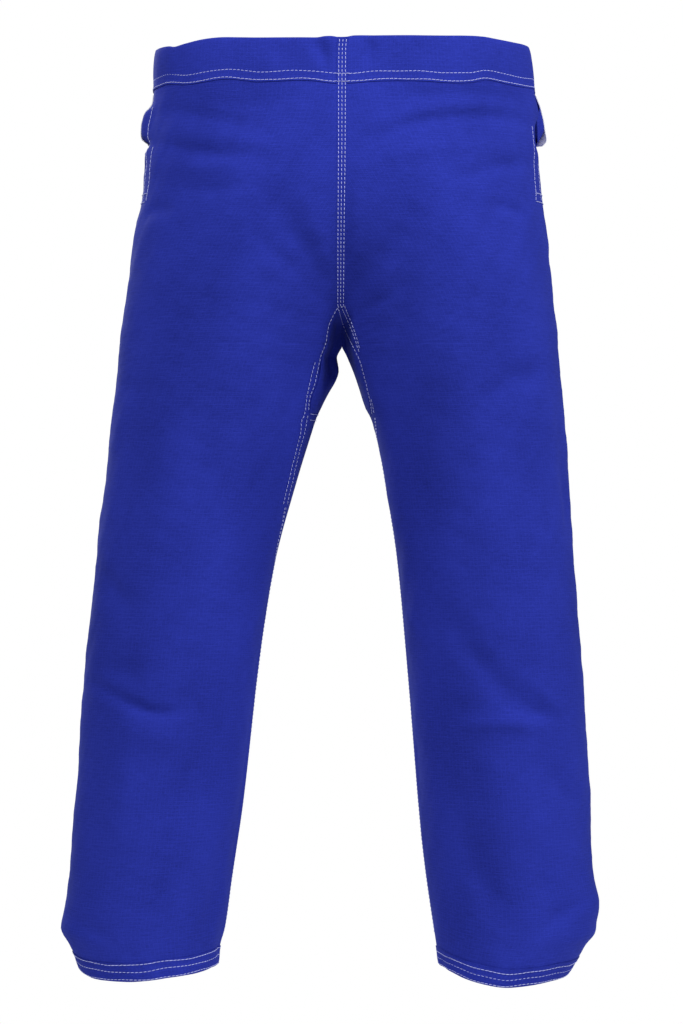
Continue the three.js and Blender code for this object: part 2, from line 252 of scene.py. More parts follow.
# Small waves as (height, wavelength, stretch along z, seed): over the whole cloth, at the hem, at the waist
WAVES = [(1.2, 190, 2.2, 3), (0.8, 75, 1.3, 5), (0.3, 30, 0.8, 8), (0.1, 13, 0.7, 9)]
HEM_WAVES = (0.3, 17, 2.0, 21)
HEM_WAVES_RISE = (45, 12)               # heights above the hem's edge between which its waves set in
WAIST_WAVES = (0.3, 22, 2.0, 22)
WAIST_WAVES_Z = (-80, -50)
# How far beside its line a fold is worked out, in widths, and how it fades towards the line's ends
FOLD_REACH = 3
FOLD_ENDS = (0.04, 0.96)
FOLD_TAPER = 0.7
# Folds' heights are multiplied by a face's scale, die away towards the centre seam, and are pressed
# flatter under the waistband
FOLD_SCALE = {BACK: 1.8, FRONT: 2.2}
SEAM_FADE = 14
BAND_STIFFNESS = 0.6
BAND_STIFF_Z = (-60, -40)


def waves(points, height, wavelength, stretch, seed):
    """A smooth random height with waves of one size, longer along z by stretch."""
    rng = np.random.default_rng(seed)
    total = np.zeros(points.shape[:-1])
    for _ in range(WAVE_COUNT):
        wave = rng.normal(size=3)
        wave *= 2 * math.pi / wavelength / np.linalg.norm(wave)
        wave[2] /= stretch
        total += np.sin(points @ wave + rng.uniform(0, 2 * math.pi))
    return height * (total / WAVE_SPREAD)


def fold_path(side, face, points):
    """The fold's smooth line in lengths along the cloth, from its (x, z) points."""
    x, z = smooth_line(points, 10)
    return np.stack([angle_at(side, x, z) * girth(side, face, z), z], axis=-1)


def fold_height(path, u, v, width, height, skew):
    """Height of one fold at places (u, v): a soft ridge along the path, steeper on one side."""
    result = np.zeros(u.shape)
    reach = FOLD_REACH * width
    low, high = path.min(axis=0) - reach, path.max(axis=0) + reach
    near = (u > low[0]) & (u < high[0]) & (v > low[1]) & (v < high[1])
    if not near.any():
        return result
    places = np.stack([u[near], v[near]], axis=-1)
    best = np.full(len(places), 1e9)
    across = np.zeros(len(places))
    run = np.zeros(len(places))
    count = len(path) - 1
    for k in range(count):
        step = path[k + 1] - path[k]
        length = max(np.linalg.norm(step), 1e-6)
        offset = places - path[k]
        t = np.clip(offset @ step / length ** 2, 0, 1)
        apart = offset - t[:, None] * step
        distance = np.linalg.norm(apart, axis=-1)
        closer = distance < best
        best[closer] = distance[closer]
        turned = (step[0] * apart[:, 1] - step[1] * apart[:, 0]) / length
        across[closer] = turned[closer]
        run[closer] = ((k + t) / count)[closer]
    taper = np.sin(math.pi * np.clip(run, *FOLD_ENDS)) ** FOLD_TAPER
    shape = np.exp(-(best / width) ** 2) * (1 + skew * across / width)
    result[near] = height * taper * shape
    return result


# Folds of the back: side, (x, z) points, width and height in millimetres, and skew. Valleys are negative.
BACK_FOLDS = [
    # Drag lines from the left side slit and waist towards the seat
    (LEFT, [(202, -70), (150, -80), (95, -94)], 8, -1.3, 0.4),
    (LEFT, [(195, -92), (120, -106), (45, -118)], 9, 1.2, 0.3),
    (LEFT, [(206, -103), (160, -117), (105, -126)], 7, -1.6, 0.5),
    (LEFT, [(205, -128), (150, -136), (100, -134)], 8, 1.0, 0.4),
    (LEFT, [(190, -155), (135, -160), (95, -156)], 8, -1.3, 0.4),
    (LEFT, [(216, -184), (195, -178), (175, -182)], 9, -2.0, 0.3),
    (LEFT, [(150, -62), (100, -70), (40, -66)], 7, -0.7, 0.2),
    # Puckers of the waistband beside the centre seam
    (LEFT, [(29, -2), (24, -16), (19, -31)], 6.5, -5.6, 0.8),
    (RIGHT, [(-28, -1), (-26, -15), (-21, -31)], 6.5, -5.6, -0.8),
    (LEFT, [(62, -4), (66, -16), (64, -28)], 7, -1.6, 0.3),
    (RIGHT, [(-92, -4), (-84, -16), (-86, -28)], 8, -1.8, 0.3),
    (RIGHT, [(-160, -6), (-166, -18), (-168, -30)], 6, -1.6, 0.3),
    # Drag lines from the right side slit
    (RIGHT, [(-57, -64), (-105, -56), (-198, -56)], 8, -1.0, 0.4),
    (RIGHT, [(-30, -92), (-95, -72), (-170, -64)], 8, 1.0, 0.4),
    (RIGHT, [(-20, -110), (-85, -86), (-170, -78), (-206, -84)], 8, -1.5, 0.4),
    (RIGHT, [(-20, -132), (-85, -116), (-190, -108)], 9, 1.0, 0.3),
    (RIGHT, [(-105, -150), (-168, -130), (-206, -122)], 8, -1.3, 0.4),
    (RIGHT, [(-152, -172), (-175, -174), (-192, -180)], 7, -1.5, 0.4),
    # Pulls that run up from the gusset's point
    (LEFT, [(78, -160), (45, -215), (10, -265)], 13, -2.0, 0.3),
    (LEFT, [(95, -200), (55, -240), (16, -275)], 9, -1.1, 0.3),
    (LEFT, [(34, -170), (24, -215), (14, -255)], 9, 1.2, 0.2),
    (RIGHT, [(-90, -175), (-52, -222), (-8, -268)], 13, -2.0, 0.3),
    (RIGHT, [(-20, -158), (-14, -205), (-10, -250)], 8, 1.2, 0.2),
    (RIGHT, [(-60, -262), (-34, -278), (-14, -288)], 7, -0.9, 0.2),
    # Soft upright bands on the thighs
    (LEFT, [(112, -170), (115, -320), (118, -480)], 26, 2.2, 0.0),
    (LEFT, [(70, -230), (78, -330), (92, -450)], 18, -1.8, 0.0),
    (RIGHT, [(-66, -190), (-62, -300), (-60, -420)], 20, -3.0, 0.0),
    (RIGHT, [(-115, -170), (-124, -290), (-126, -400)], 26, 2.0, 0.0),
    (RIGHT, [(-158, -420), (-150, -520), (-155, -600)], 20, 1.4, 0.0),
    (RIGHT, [(-228, -395), (-238, -480), (-240, -530)], 12, -1.6, 0.3),
    # Dents at the thighs' sides
    (LEFT, [(258, -560), (240, -580), (222, -600)], 14, -2.2, 0.3),
    (LEFT, [(238, -360), (215, -368), (190, -372)], 12, -1.0, 0.3),
    (RIGHT, [(-165, -352), (-190, -350), (-215, -345)], 15, -2.4, 0.3),
    (RIGHT, [(-140, -380), (-160, -366), (-180, -360)], 10, -1.2, 0.3),
    # Creases at the knees
    (LEFT, [(268, -674), (228, -694), (196, -706), (155, -704)], 7, -2.4, 0.7),
    (LEFT, [(250, -655), (226, -664), (205, -660)], 15, -1.8, 0.2),
    (LEFT, [(182, -685), (164, -690), (150, -684)], 12, -1.4, 0.2),
    (LEFT, [(240, -716), (200, -730), (160, -726)], 14, 1.4, 0.0),
    (RIGHT, [(-105, -588), (-150, -655), (-198, -700), (-238, -712)], 15, -2.6, 0.4),
    (RIGHT, [(-115, -716), (-175, -712), (-240, -716)], 9, 1.6, 0.8),
    (RIGHT, [(-235, -715), (-215, -690), (-190, -670)], 9, 1.0, 0.3),
    # Long soft folds below the knees
    (LEFT, [(226, -745), (232, -800), (236, -860)], 22, 2.0, 0.0),
    (LEFT, [(145, -735), (178, -810), (215, -880)], 16, -1.8, 0.2),
    (LEFT, [(128, -850), (136, -900), (146, -950)], 12, -1.6, 0.2),
    (LEFT, [(165, -830), (175, -890), (178, -940)], 15, 1.3, 0.0),
    (RIGHT, [(-155, -735), (-166, -790), (-170, -850)], 22, 2.2, 0.0),
    (RIGHT, [(-112, -760), (-135, -850), (-185, -945)], 16, -2.0, 0.3),
    (RIGHT, [(-215, -760), (-235, -790), (-255, -800)], 12, -1.4, 0.3),
    (RIGHT, [(-205, -850), (-222, -905), (-232, -940)], 13, -1.5, 0.3),
    (RIGHT, [(-265, -905), (-240, -915), (-215, -935)], 9, -1.8, 0.4),
    (LEFT, [(292, -925), (262, -938), (235, -942)], 9, -1.8, 0.4),
]

# Folds of the front, which hangs the same way
FRONT_FOLDS = [
    (LEFT, [(40, -66), (62, -120), (78, -170)], 9, -1.4, 0.3),
    (RIGHT, [(-46, -66), (-60, -110), (-66, -160)], 9, -1.3, 0.3),
    (LEFT, [(200, -110), (140, -122), (90, -120)], 9, -1.4, 0.4),
    (RIGHT, [(-200, -108), (-150, -126), (-90, -130)], 9, -1.5, 0.4),
    (LEFT, [(150, -180), (80, -240), (18, -285)], 14, -2.6, 0.4),
    (RIGHT, [(-160, -170), (-85, -235), (-18, -285)], 14, -2.5, 0.4),
    (LEFT, [(185, -215), (110, -280), (40, -330)], 12, 1.6, 0.3),
    (RIGHT, [(-190, -210), (-115, -275), (-42, -330)], 12, 1.6, 0.3),
    (LEFT, [(200, -290), (130, -345), (60, -375)], 13, -1.8, 0.3),
    (RIGHT, [(-195, -295), (-135, -345), (-62, -378)], 13, -1.8, 0.3),
    (LEFT, [(150, -230), (160, -340), (165, -440)], 26, 2.2, 0.0),
    (RIGHT, [(-150, -230), (-158, -340), (-160, -440)], 26, 2.2, 0.0),
    (LEFT, [(95, -560), (130, -600), (215, -612)], 14, -2.0, 0.4),
    (RIGHT, [(-90, -575), (-130, -610), (-200, -620)], 14, -2.0, 0.4),
    (LEFT, [(250, -640), (210, -668), (150, -672)], 12, -1.9, 0.4),
    (RIGHT, [(-240, -650), (-200, -676), (-140, -668)], 12, -1.9, 0.4),
    (LEFT, [(262, -730), (215, -755), (150, -748)], 12, -1.6, 0.4),
    (RIGHT, [(-245, -735), (-200, -755), (-135, -750)], 12, -1.7, 0.4),
    (LEFT, [(235, -790), (225, -860), (205, -930)], 20, 2.2, 0.0),
    (RIGHT, [(-200, -790), (-196, -860), (-188, -930)], 20, 2.2, 0.0),
    (LEFT, [(170, -800), (180, -870), (195, -930)], 14, -2.0, 0.2),
    (RIGHT, [(-140, -800), (-155, -870), (-165, -935)], 14, -2.0, 0.2),
    (LEFT, [(280, -900), (250, -930), (205, -940)], 9, -1.8, 0.4),
    (RIGHT, [(-262, -890), (-235, -925), (-185, -938)], 9, -1.8, 0.4),
]
FOLDS = [(BACK, *fold) for fold in BACK_FOLDS] + [(FRONT, *fold) for fold in FRONT_FOLDS]
FOLD_PATHS = [
    (face, side, fold_path(side, face, points), width, height, skew)
    for face, side, points, width, height, skew in FOLDS
]

# The side slit: how far each face's edge stands out, as (z, distance). A tack pulls it in at one height.
SLIT = {
    ("left", BACK): [
        (-166, 0), (-133, 1), (-124, -0.5), (-115, 0.3), (-109, 0), (-103, -5.5), (-100, -2.5),
        (-95, 5), (-85, 7.8), (-75, 8.2), (-67, 7), (-60, 0.8), (-54, 0),
    ],
    ("left", FRONT): [
        (-166, 0), (-112, 0.6), (-102, -4), (-96, 4), (-86, 7.2), (-75, 7.8), (-66, 6), (-59, 0.8),
        (-50, 0),
    ],
    ("right", BACK): [
        (-166, 0), (-113, 0), (-106, -3), (-98, -8), (-90, -7.5), (-82, -4), (-74, 1.5), (-67, 3),
        (-50, 0),
    ],
    ("right", FRONT): [
        (-166, 0), (-112, 0), (-104, -2), (-98, 1.5), (-88, 6.5), (-76, 7), (-62, 5), (-53, 2.4),
        (-46, 0.4),
    ],
}
SLIT_REACH = {BACK: 22, FRONT: 20}
WRAP_REACH = 7


def slit_height(side, face, u, z):
    """Height of the cloth beside the side slit."""
    out = along(SLIT[side["name"], face], z)
    return out * np.exp(-(u / np.where(u < 0, WRAP_REACH, SLIT_REACH[face])) ** 2)


def relief(side, face, phi, z, points):
    """Height of the cloth's folds over its plain shape, along the outward direction."""
    u = phi * girth(side, face, z)
    height = np.zeros(np.shape(u))
    for fold_face, fold_side, path, width, size, skew in FOLD_PATHS:
        if fold_face == face and fold_side is side:
            height += fold_height(path, u, z, width, size, skew)
    height *= FOLD_SCALE[face]
    for wave in WAVES:
        height += waves(points, *wave)
    high, low = HEM_WAVES_RISE
    height += waves(points, *HEM_WAVES) * ease(z, side["hem"] + high, side["hem"] + low)
    height += waves(points, *WAIST_WAVES) * ease(z, *WAIST_WAVES_Z)
    at_seam = ease((centre_angle(z) - phi) * girth(side, face, z), 0, SEAM_FADE)
    at_waist = 1 - BAND_STIFFNESS * ease(z, *BAND_STIFF_Z)
    return height * at_seam * at_waist + slit_height(side, face, u, z)


def hem_tilt(side, phi, z):
    """How far the cloth near the hem is raised towards the sides of the leg."""
    return along(side["hem_rise"], np.cos(phi)) * ease(z, HEM_TILT_Z, side["hem"])


def cleft_fill(x, z, depth, half):
    """Rounds off the groove that the two halves make at the centre seam, above the gusset."""
    part = parting(z)
    slope = depth / half * part / np.sqrt(np.maximum(1 - part ** 2, 0.01))
    slope = np.minimum(slope, STEEPEST_CLEFT)
    reach = np.maximum(CLEFT_RADIUS - np.abs(x), 0)
    return slope * reach ** 2 / (2 * CLEFT_RADIUS) * ease(z, CROTCH_Z, GUSSET_TOP_Z)


def surface(side, face, phi, z, out=0.0):
    """Points of the outer cloth, moved out of it by `out`. phi is 0 at the side, pi at the inner leg."""
    phi, z = np.broadcast_arrays(np.asarray(phi, float), np.asarray(z, float))
    z = z + hem_tilt(side, phi, z)
    centre, half = ring(side, z)
    depth = along(DEPTH[face], z)
    x = side["sign"] * (centre + half * np.cos(phi))
    y = face * depth * np.sin(phi)
    plain = np.stack([x, y, z], axis=-1)
    facing = unit(np.stack([side["sign"] * np.cos(phi) / half, face * np.sin(phi) / depth, 0 * z], axis=-1))
    facing[..., 0] *= 1 - (1 - ease(np.abs(x), 0, INNER_SLACK)) * ease(z, CROTCH_Z - 15, CROTCH_Z)
    sag = np.where(z < CROTCH_Z, along(side["sag"], z), 0) * ease(-np.cos(phi), SAG_REACH, 1)
    plain[..., 0] -= side["sign"] * sag
    plain[..., 1] += face * cleft_fill(x, z, depth, half)
    plain[..., 1] -= face * gusset_recess(x, z, np.abs(plain[..., 1]))
    height = relief(side, face, phi, z, plain) + out
    return plain + facing * height[..., None]


def facing_out(across, down, side, face):
    """Unit normals from the steps of a grid across (side to inner leg) and down (waist to hem)."""
    return unit(np.cross(down, across) * (side["sign"] * face))


def padded_grid(grid):
    """The grid with one more row and column on each side, carried on in a straight line."""
    return np.pad(grid, 1, mode="reflect", reflect_type="odd")


def grid_on(side, face, phi, z, out=0.0):
    """Points and normals of a grid of the cloth's places phi, z (rows from the waist down)."""
    out = np.pad(out, 1, mode="edge") if np.ndim(out) else out
    points = surface(side, face, padded_grid(phi), padded_grid(z), out)
    across = points[1:-1, 2:] - points[1:-1, :-2]
    down = points[2:, 1:-1] - points[:-2, 1:-1]
    return points[1:-1, 1:-1], facing_out(across, down, side, face)


def row_on(side, face, phi, z, out=0.0):
    """Points and normals along a line of places on the cloth."""
    step = 0.5
    turn = step / girth(side, face, z)
    points = surface(side, face, phi, z, out)
    across = surface(side, face, phi + turn, z, out) - surface(side, face, phi - turn, z, out)
    down = surface(side, face, phi, z - step, out) - surface(side, face, phi, z + step, out)
    return points, facing_out(across, down, side, face)


def cloth_row(side, phi, z, out=0.0):
    """row_on for signed angles: above 0 on the back, below 0 (or beyond pi) on the front."""
    phi, z = np.broadcast_arrays(np.asarray(phi, float), np.asarray(z, float))
    phi = np.where(phi > math.pi, phi - 2 * math.pi, phi)
    back = row_on(side, BACK, np.abs(phi), z, out)
    front = row_on(side, FRONT, np.abs(phi), z, out)
    is_back = (phi >= 0)[..., None]
    return np.where(is_back, back[0], front[0]), np.where(is_back, back[1], front[1])


def on_face(face, x, z, out=0.0):
    """Points of one face's cloth at places x (above 0 on the left leg) and z."""
    x, z = np.broadcast_arrays(np.asarray(x, float), np.asarray(z, float))
    left = surface(LEFT, face, angle_at(LEFT, np.maximum(x, 0), z), z, out)
    right = surface(RIGHT, face, angle_at(RIGHT, np.maximum(-x, 0), z), z, out)
    return np.where((x >= 0)[..., None], left, right)


def spots_on(face, x, z, out=0.0, step=0.5):
    """Points and unit normals of one face's cloth at places x and z."""
    x, z = np.asarray(x, float), np.asarray(z, float)
    across = on_face(face, x + step, z, out) - on_face(face, x - step, z, out)
    down = on_face(face, x, z - step, out) - on_face(face, x, z + step, out)
    return on_face(face, x, z, out), unit(np.cross(across, down) * face)


# ---------------------------------------------------------------- materials

RIPSTOP_SPACING = 4.2
# Darkest and brightest colours
CLOTH_COLOURS = ((0.0065, 0.0125, 0.165, 1), (0.027, 0.044, 0.45, 1))
THREAD_COLOURS = ((0.40, 0.43, 0.80, 1), (0.62, 0.65, 0.97, 1))
PATCH_COLOURS = ((0.74, 0.74, 0.83, 1), (0.92, 0.92, 0.97, 1))
SHEEN_TINT = (0.25, 0.4, 1.0, 1)


def feed(tree, value, socket):
    """Gives a socket its value, or links another node's output to it."""
    if isinstance(value, bpy.types.NodeSocket):
        tree.links.new(value, socket)
    else:
        socket.default_value = value


def node(tree, kind, **inputs):
    """A shader node with its inputs set or linked by name, or by number as i0, i1 and so on."""
    made = tree.nodes.new(kind)
    for name, value in inputs.items():
        numbered = name[0] == "i" and name[1:].isdigit()
        feed(tree, value, made.inputs[int(name[1:]) if numbered else name])
    return made


def maths(tree, operation, first, second=0.0):
    """Output of a Math node."""
    made = node(tree, "ShaderNodeMath", i0=first, i1=second)
    made.operation = operation
    return made.outputs[0]


def noise(tree, vector, scale, detail=2.0, roughness=0.5):
    """Output of a Noise texture."""
    made = node(tree, "ShaderNodeTexNoise", Vector=vector, Scale=scale, Detail=detail, Roughness=roughness)
    return made.outputs["Fac"]


def times(tree, vector, scale):
    """The vector with each axis scaled."""
    made = node(tree, "ShaderNodeVectorMath", i0=vector, i1=scale)
    made.operation = "MULTIPLY"
    return made.outputs[0]


def new_material(name, roughness, sheen):
    """A material with its Principled shader, and its node tree."""
    material = bpy.data.materials.new(name)
    material.use_nodes = True
    tree = material.node_tree
    shader = tree.nodes["Principled BSDF"]
    shader.inputs["Roughness"].default_value = roughness
    shader.inputs["Sheen Weight"].default_value = sheen
    shader.inputs["Sheen Roughness"].default_value = 0.4
    shader.inputs["Sheen Tint"].default_value = SHEEN_TINT
    shader.inputs["Specular IOR Level"].default_value = 0.12
    return material, tree, shader


def blend_colours(tree, factor, first, second):
    """Colour output of a mix of two colours."""
    made = tree.nodes.new("ShaderNodeMix")
    made.data_type = "RGBA"
    feed(tree, factor, made.inputs["Factor"])
    feed(tree, first, made.inputs[6])
    feed(tree, second, made.inputs[7])
    return made.outputs[2]


def total(tree, *terms):
    """Sum of (value, weight) terms."""
    parts = [maths(tree, "MULTIPLY", value, weight) for value, weight in terms]
    result = parts[0]
    for part in parts[1:]:
        result = maths(tree, "ADD", result, part)
    return result


def finish(tree, shader, colour, height, strength, distance):
    """Links a material's colour, and the bump of its height, to the shader."""
    tree.links.new(colour, shader.inputs["Base Color"])
    bump = node(tree, "ShaderNodeBump", Height=height, Strength=strength, Distance=distance)
    tree.links.new(bump.outputs[0], shader.inputs["Normal"])


def cloth_place(tree):
    """The place on the flat cloth, in millimetres."""
    made = tree.nodes.new("ShaderNodeAttribute")
    made.attribute_name = "cloth_mm"
    return made.outputs["Vector"]


def in_range(tree, value, low, high):
    """The value mapped from low..high to 0..1, clamped."""
    made = node(tree, "ShaderNodeMapRange", Value=value)
    made.inputs["From Min"].default_value = low
    made.inputs["From Max"].default_value = high
    return made.outputs[0]


def cloth_material():
    """Ripstop cotton: fine cross threads, a faint grid of thicker ones, soft blotches, a matt sheen."""
    material, tree, shader = new_material("cloth_blue", 0.9, 0.04)
    place = cloth_place(tree)
    # Each noise has so many waves per millimetre across and down the cloth.
    threads = noise(tree, times(tree, place, (0.42, 1.9, 1.0)), 1.0, 2.0, 0.55)
    slubs = noise(tree, times(tree, place, (0.09, 0.75, 1.0)), 1.0, 1.0)
    upright = noise(tree, times(tree, place, (1.6, 0.25, 1.0)), 1.0, 1.0)
    blotches = noise(tree, times(tree, place, (0.011, 0.007, 1.0)), 1.0, 2.0)
    grid = ripstop_lines(tree, place)
    grain = total(tree, (threads, 0.5), (slubs, 0.3), (upright, 0.2))
    shown_grain = in_range(tree, grain, 0.3, 0.7)
    shown_blotches = in_range(tree, blotches, 0.3, 0.7)
    tone = total(tree, (shown_grain, 0.58), (shown_blotches, 0.22), (grid, 0.2))
    height = total(tree, (grain, 1.0), (grid, 0.35))
    finish(tree, shader, blend_colours(tree, tone, *CLOTH_COLOURS), height, 0.5, 0.00025)
    return material


def ripstop_lines(tree, place):
    """Faint grid of thicker threads, 1 on the lines and 0 between."""
    parts = node(tree, "ShaderNodeSeparateXYZ", Vector=place)
    lines = []
    for k in range(2):
        phase = maths(tree, "FRACT", maths(tree, "DIVIDE", parts.outputs[k], RIPSTOP_SPACING))
        apart = maths(tree, "ABSOLUTE", maths(tree, "SUBTRACT", phase, 0.5))
        lines.append(in_range(tree, apart, 0.42, 0.5))
    return maths(tree, "MAXIMUM", lines[0], lines[1])


def thread_material():
    """Pale twisted thread."""
    material, tree, shader = new_material("thread", 0.6, 0.2)
    place = node(tree, "ShaderNodeTexCoord").outputs["Object"]
    strands = noise(tree, place, 1400.0, 1.0)
    finish(tree, shader, blend_colours(tree, strands, *THREAD_COLOURS), strands, 0.4, 0.0002)
    return material


def patch_material():
    """White woven patch, a tight satin weave."""
    material, tree, shader = new_material("woven_patch", 0.55, 0.1)
    weave = noise(tree, times(tree, cloth_place(tree), (3.0, 0.8, 1.0)), 1.0, 2.0)
    finish(tree, shader, blend_colours(tree, weave, *PATCH_COLOURS), weave, 0.4, 0.0002)
    return material


CLOTH_BLUE = cloth_material()
THREAD = thread_material()
PATCH_WHITE = patch_material()


# ---------------------------------------------------------------- meshes

def new_object(name, points, faces, material):
    """A smooth mesh object from points in millimetres."""
    mesh = bpy.data.meshes.new(name)
    mesh.from_pydata((np.asarray(points) * MM).tolist(), [], faces)
    mesh.materials.append(material)
    mesh.shade_smooth()
    made = bpy.data.objects.new(name, mesh)
    bpy.context.collection.objects.link(made)
    return made


def write_places(mesh, places):
    """Gives each point of a mesh its place on the flat cloth, for the weave."""
    flat = np.zeros((len(mesh.vertices), 3), np.float32)
    flat[:, :2] = places
    mesh.attributes.new("cloth_mm", "FLOAT_VECTOR", "POINT").data.foreach_set("vector", flat.ravel())


def grid_quads(rows, columns, wrap=False):
    """Quads of a grid of points, numbered row by row. wrap joins the last column to the first."""
    j, i = np.meshgrid(np.arange(rows - 1), np.arange(columns if wrap else columns - 1), indexing="ij")
    after = (i + 1) % columns
    corners = [j * columns + i, j * columns + after, (j + 1) * columns + after, (j + 1) * columns + i]
    return np.stack([c.ravel() for c in corners], axis=-1)


def thin_sheet(points, normals, thickness):
    """Points, faces and corner normals of a closed thin sheet whose outer face is the grid of points."""
    rows, columns = points.shape[:2]
    count = rows * columns
    outer = points.reshape(-1, 3)
    smooth = normals.reshape(-1, 3)
    quads = grid_quads(rows, columns)
    middle = quads[len(quads) // 2]
    first = outer[middle]
    turn = np.cross(first[1] - first[0], first[3] - first[0]) @ smooth[middle[0]]
    if turn < 0:
        quads = quads[:, ::-1]
    ids = np.arange(count).reshape(rows, columns)
    edge = np.concatenate([ids[0, :-1], ids[:-1, -1], ids[-1, :0:-1], ids[:0:-1, 0]])
    after = np.roll(edge, -1)
    rim = np.stack([edge, after, after + count, edge + count], axis=-1)
    if turn > 0:
        rim = rim[:, ::-1]
    every = np.concatenate([outer, outer - smooth * thickness])
    corners = every[rim]
    flat = unit(np.cross(corners[:, 1] - corners[:, 0], corners[:, 3] - corners[:, 0]))
    inner = quads[:, ::-1]
    shading = [smooth[quads].reshape(-1, 3), -smooth[inner].reshape(-1, 3), np.repeat(flat, 4, axis=0)]
    return every, np.concatenate([quads, inner + count, rim]), np.concatenate(shading)


def sheet_of_cloth(name, grids, thickness=CLOTH, material=CLOTH_BLUE, slot="cloth_blue"):
    """A piece made of thin sheets, each a grid of points, normals and places on the flat cloth."""
    points, faces, shading, places = [], [], [], []
    start = 0
    for grid_points, grid_normals, grid_places in grids:
        every, quads, corner_normals = thin_sheet(grid_points, grid_normals, thickness)
        points.append(every)
        faces.append(quads + start)
        shading.append(corner_normals)
        places.append(np.tile(grid_places.reshape(-1, 2), (2, 1)))
        start += len(every)
    made = new_object(name, np.concatenate(points), np.concatenate(faces).tolist(), material)
    write_places(made.data, np.concatenate(places))
    made.data.normals_split_custom_set(np.concatenate(shading).tolist())
    return made


def band(name, points, places):
    """A folded strip: a grid of cross-sections (rows), closed round its section and round the ring."""
    rows, columns = points.shape[:2]
    quads = grid_quads(rows + 1, columns, wrap=True) % (rows * columns)
    middle = points.mean(axis=(0, 1))
    first = points.reshape(-1, 3)[quads]
    area = np.cross(first[:, 1] - first[:, 0], first[:, 3] - first[:, 0])
    volume = (first.mean(axis=1) - middle) * area
    if volume.sum() < 0:
        quads = quads[:, ::-1]
    made = new_object(name, points.reshape(-1, 3), quads.tolist(), CLOTH_BLUE)
    write_places(made.data, places.reshape(-1, 2))
    made.data.set_sharp_from_angle(angle=math.radians(50))
    return made


def folded_section(line, thickness=CLOTH, steps=34):
    """Closed outline of a cloth of some thickness that follows a line of (out, z) points."""
    middle = np.stack(smooth_line(line, steps), axis=-1)
    step = unit(np.gradient(middle, axis=0))
    across = np.stack([-step[:, 1], step[:, 0]], axis=-1) * thickness / 2
    return np.concatenate([middle + across, (middle - across)[::-1]])


def declare(grids):
    """Works out the flat width, length and area that a sheet's grids of points measure; they are not used.
    """
    width = length = area = 0
    for points in grids:
        across = np.linalg.norm(np.diff(points, axis=1), axis=-1)
        down = np.linalg.norm(np.diff(points, axis=0), axis=-1)
        width += across.sum(axis=1).max() * MM
        length = max(length, down.sum(axis=0).max() * MM)
        area += 0.25 * ((across[:-1] + across[1:]) * (down[:, :-1] + down[:, 1:])).sum() * MM ** 2
    area = min(area, width * length)


def declare_band(points):
    """Works out a folded strip's flat size by its outer line, from one edge round the fold to the other."""
    middle = points.shape[1] // 2
    ring_grid = np.concatenate([points[:, :middle], points[:1, :middle]])
    declare([ring_grid.swapaxes(0, 1)])


# ---------------------------------------------------------------- how pieces are baked in place or attached to the seat

def follow_hip(piece, side):
    """Bakes the transform of a piece of the seat or thigh into its mesh."""
    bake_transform(piece)


def follow_knee(piece, side):
    """Bakes the transform of a piece of the leg below the thigh into its mesh."""
    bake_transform(piece)


def follow_seat(piece, side=None):
    """Keeps a piece on the seat."""
    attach(piece, "seat")


def sew_on(name, grids, follow, side, nodes, rests_on, **looks):
    """A sheet of cloth that is baked in place or attached to the seat, and stands for CAD nodes, which it
    hides.
    """
    piece = sheet_of_cloth(name, grids, **looks)
    if nodes:
        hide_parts(*nodes)
    follow(piece, side)
    declare([grid[0] for grid in grids])


# ---------------------------------------------------------------- stitches

STITCH_PITCH = 4.5
STITCH_LENGTH = 3.0
LONG_STITCH = 1.36                      # stretch of the stitches in the waistband, slits and hems
ROW_START = 0.5
THREAD_RADIUS = 0.28
THREAD_SIDES = 6
# One stitch as (place along it, share of the thread's radius, height over the cloth), and its sunk ends
STITCH_STATIONS = [
    (-0.5, 0.6, -0.25), (-0.36, 1.0, 0.08), (0.0, 1.0, 0.2), (0.36, 1.0, 0.08), (0.5, 0.6, -0.25),
]
STITCH_END = (0.54, -0.3)
STITCH_TILT = (3.0, 2.5)                # degrees, mean and spread
STITCH_SPREAD = 0.05                    # spread of the stitches' lengths
DIRECTION_REACH = 0.8                   # a stitch takes its direction from the row this far on both sides
STITCH_RNG = np.random.default_rng(11)


def stitch_shape():
    """Points and faces of one stitch along x, on the plane z = 0: a thread that dips at both ends."""
    turns = np.arange(THREAD_SIDES) * 2 * math.pi / THREAD_SIDES
    end, dip = STITCH_END
    points = [(-end * STITCH_LENGTH, 0, dip)]
    for place, swell, rise in STITCH_STATIONS:
        radius = THREAD_RADIUS * swell
        for turn in turns:
            points.append((place * STITCH_LENGTH, radius * math.cos(turn), rise + radius * math.sin(turn)))
    points.append((end * STITCH_LENGTH, 0, dip))
    last = len(points) - 1
    faces = []
    for k in range(THREAD_SIDES):
        after = (k + 1) % THREAD_SIDES
        faces.append((0, 1 + after, 1 + k))
        faces.append((last, last - THREAD_SIDES + k, last - THREAD_SIDES + after))
    for base in range(1, last - THREAD_SIDES, THREAD_SIDES):
        for k in range(THREAD_SIDES):
            after = (k + 1) % THREAD_SIDES
            faces.append((base + k, base + after, base + THREAD_SIDES + after, base + THREAD_SIDES + k))
    return np.array(points), faces


STITCH_POINTS, STITCH_FACES = stitch_shape()


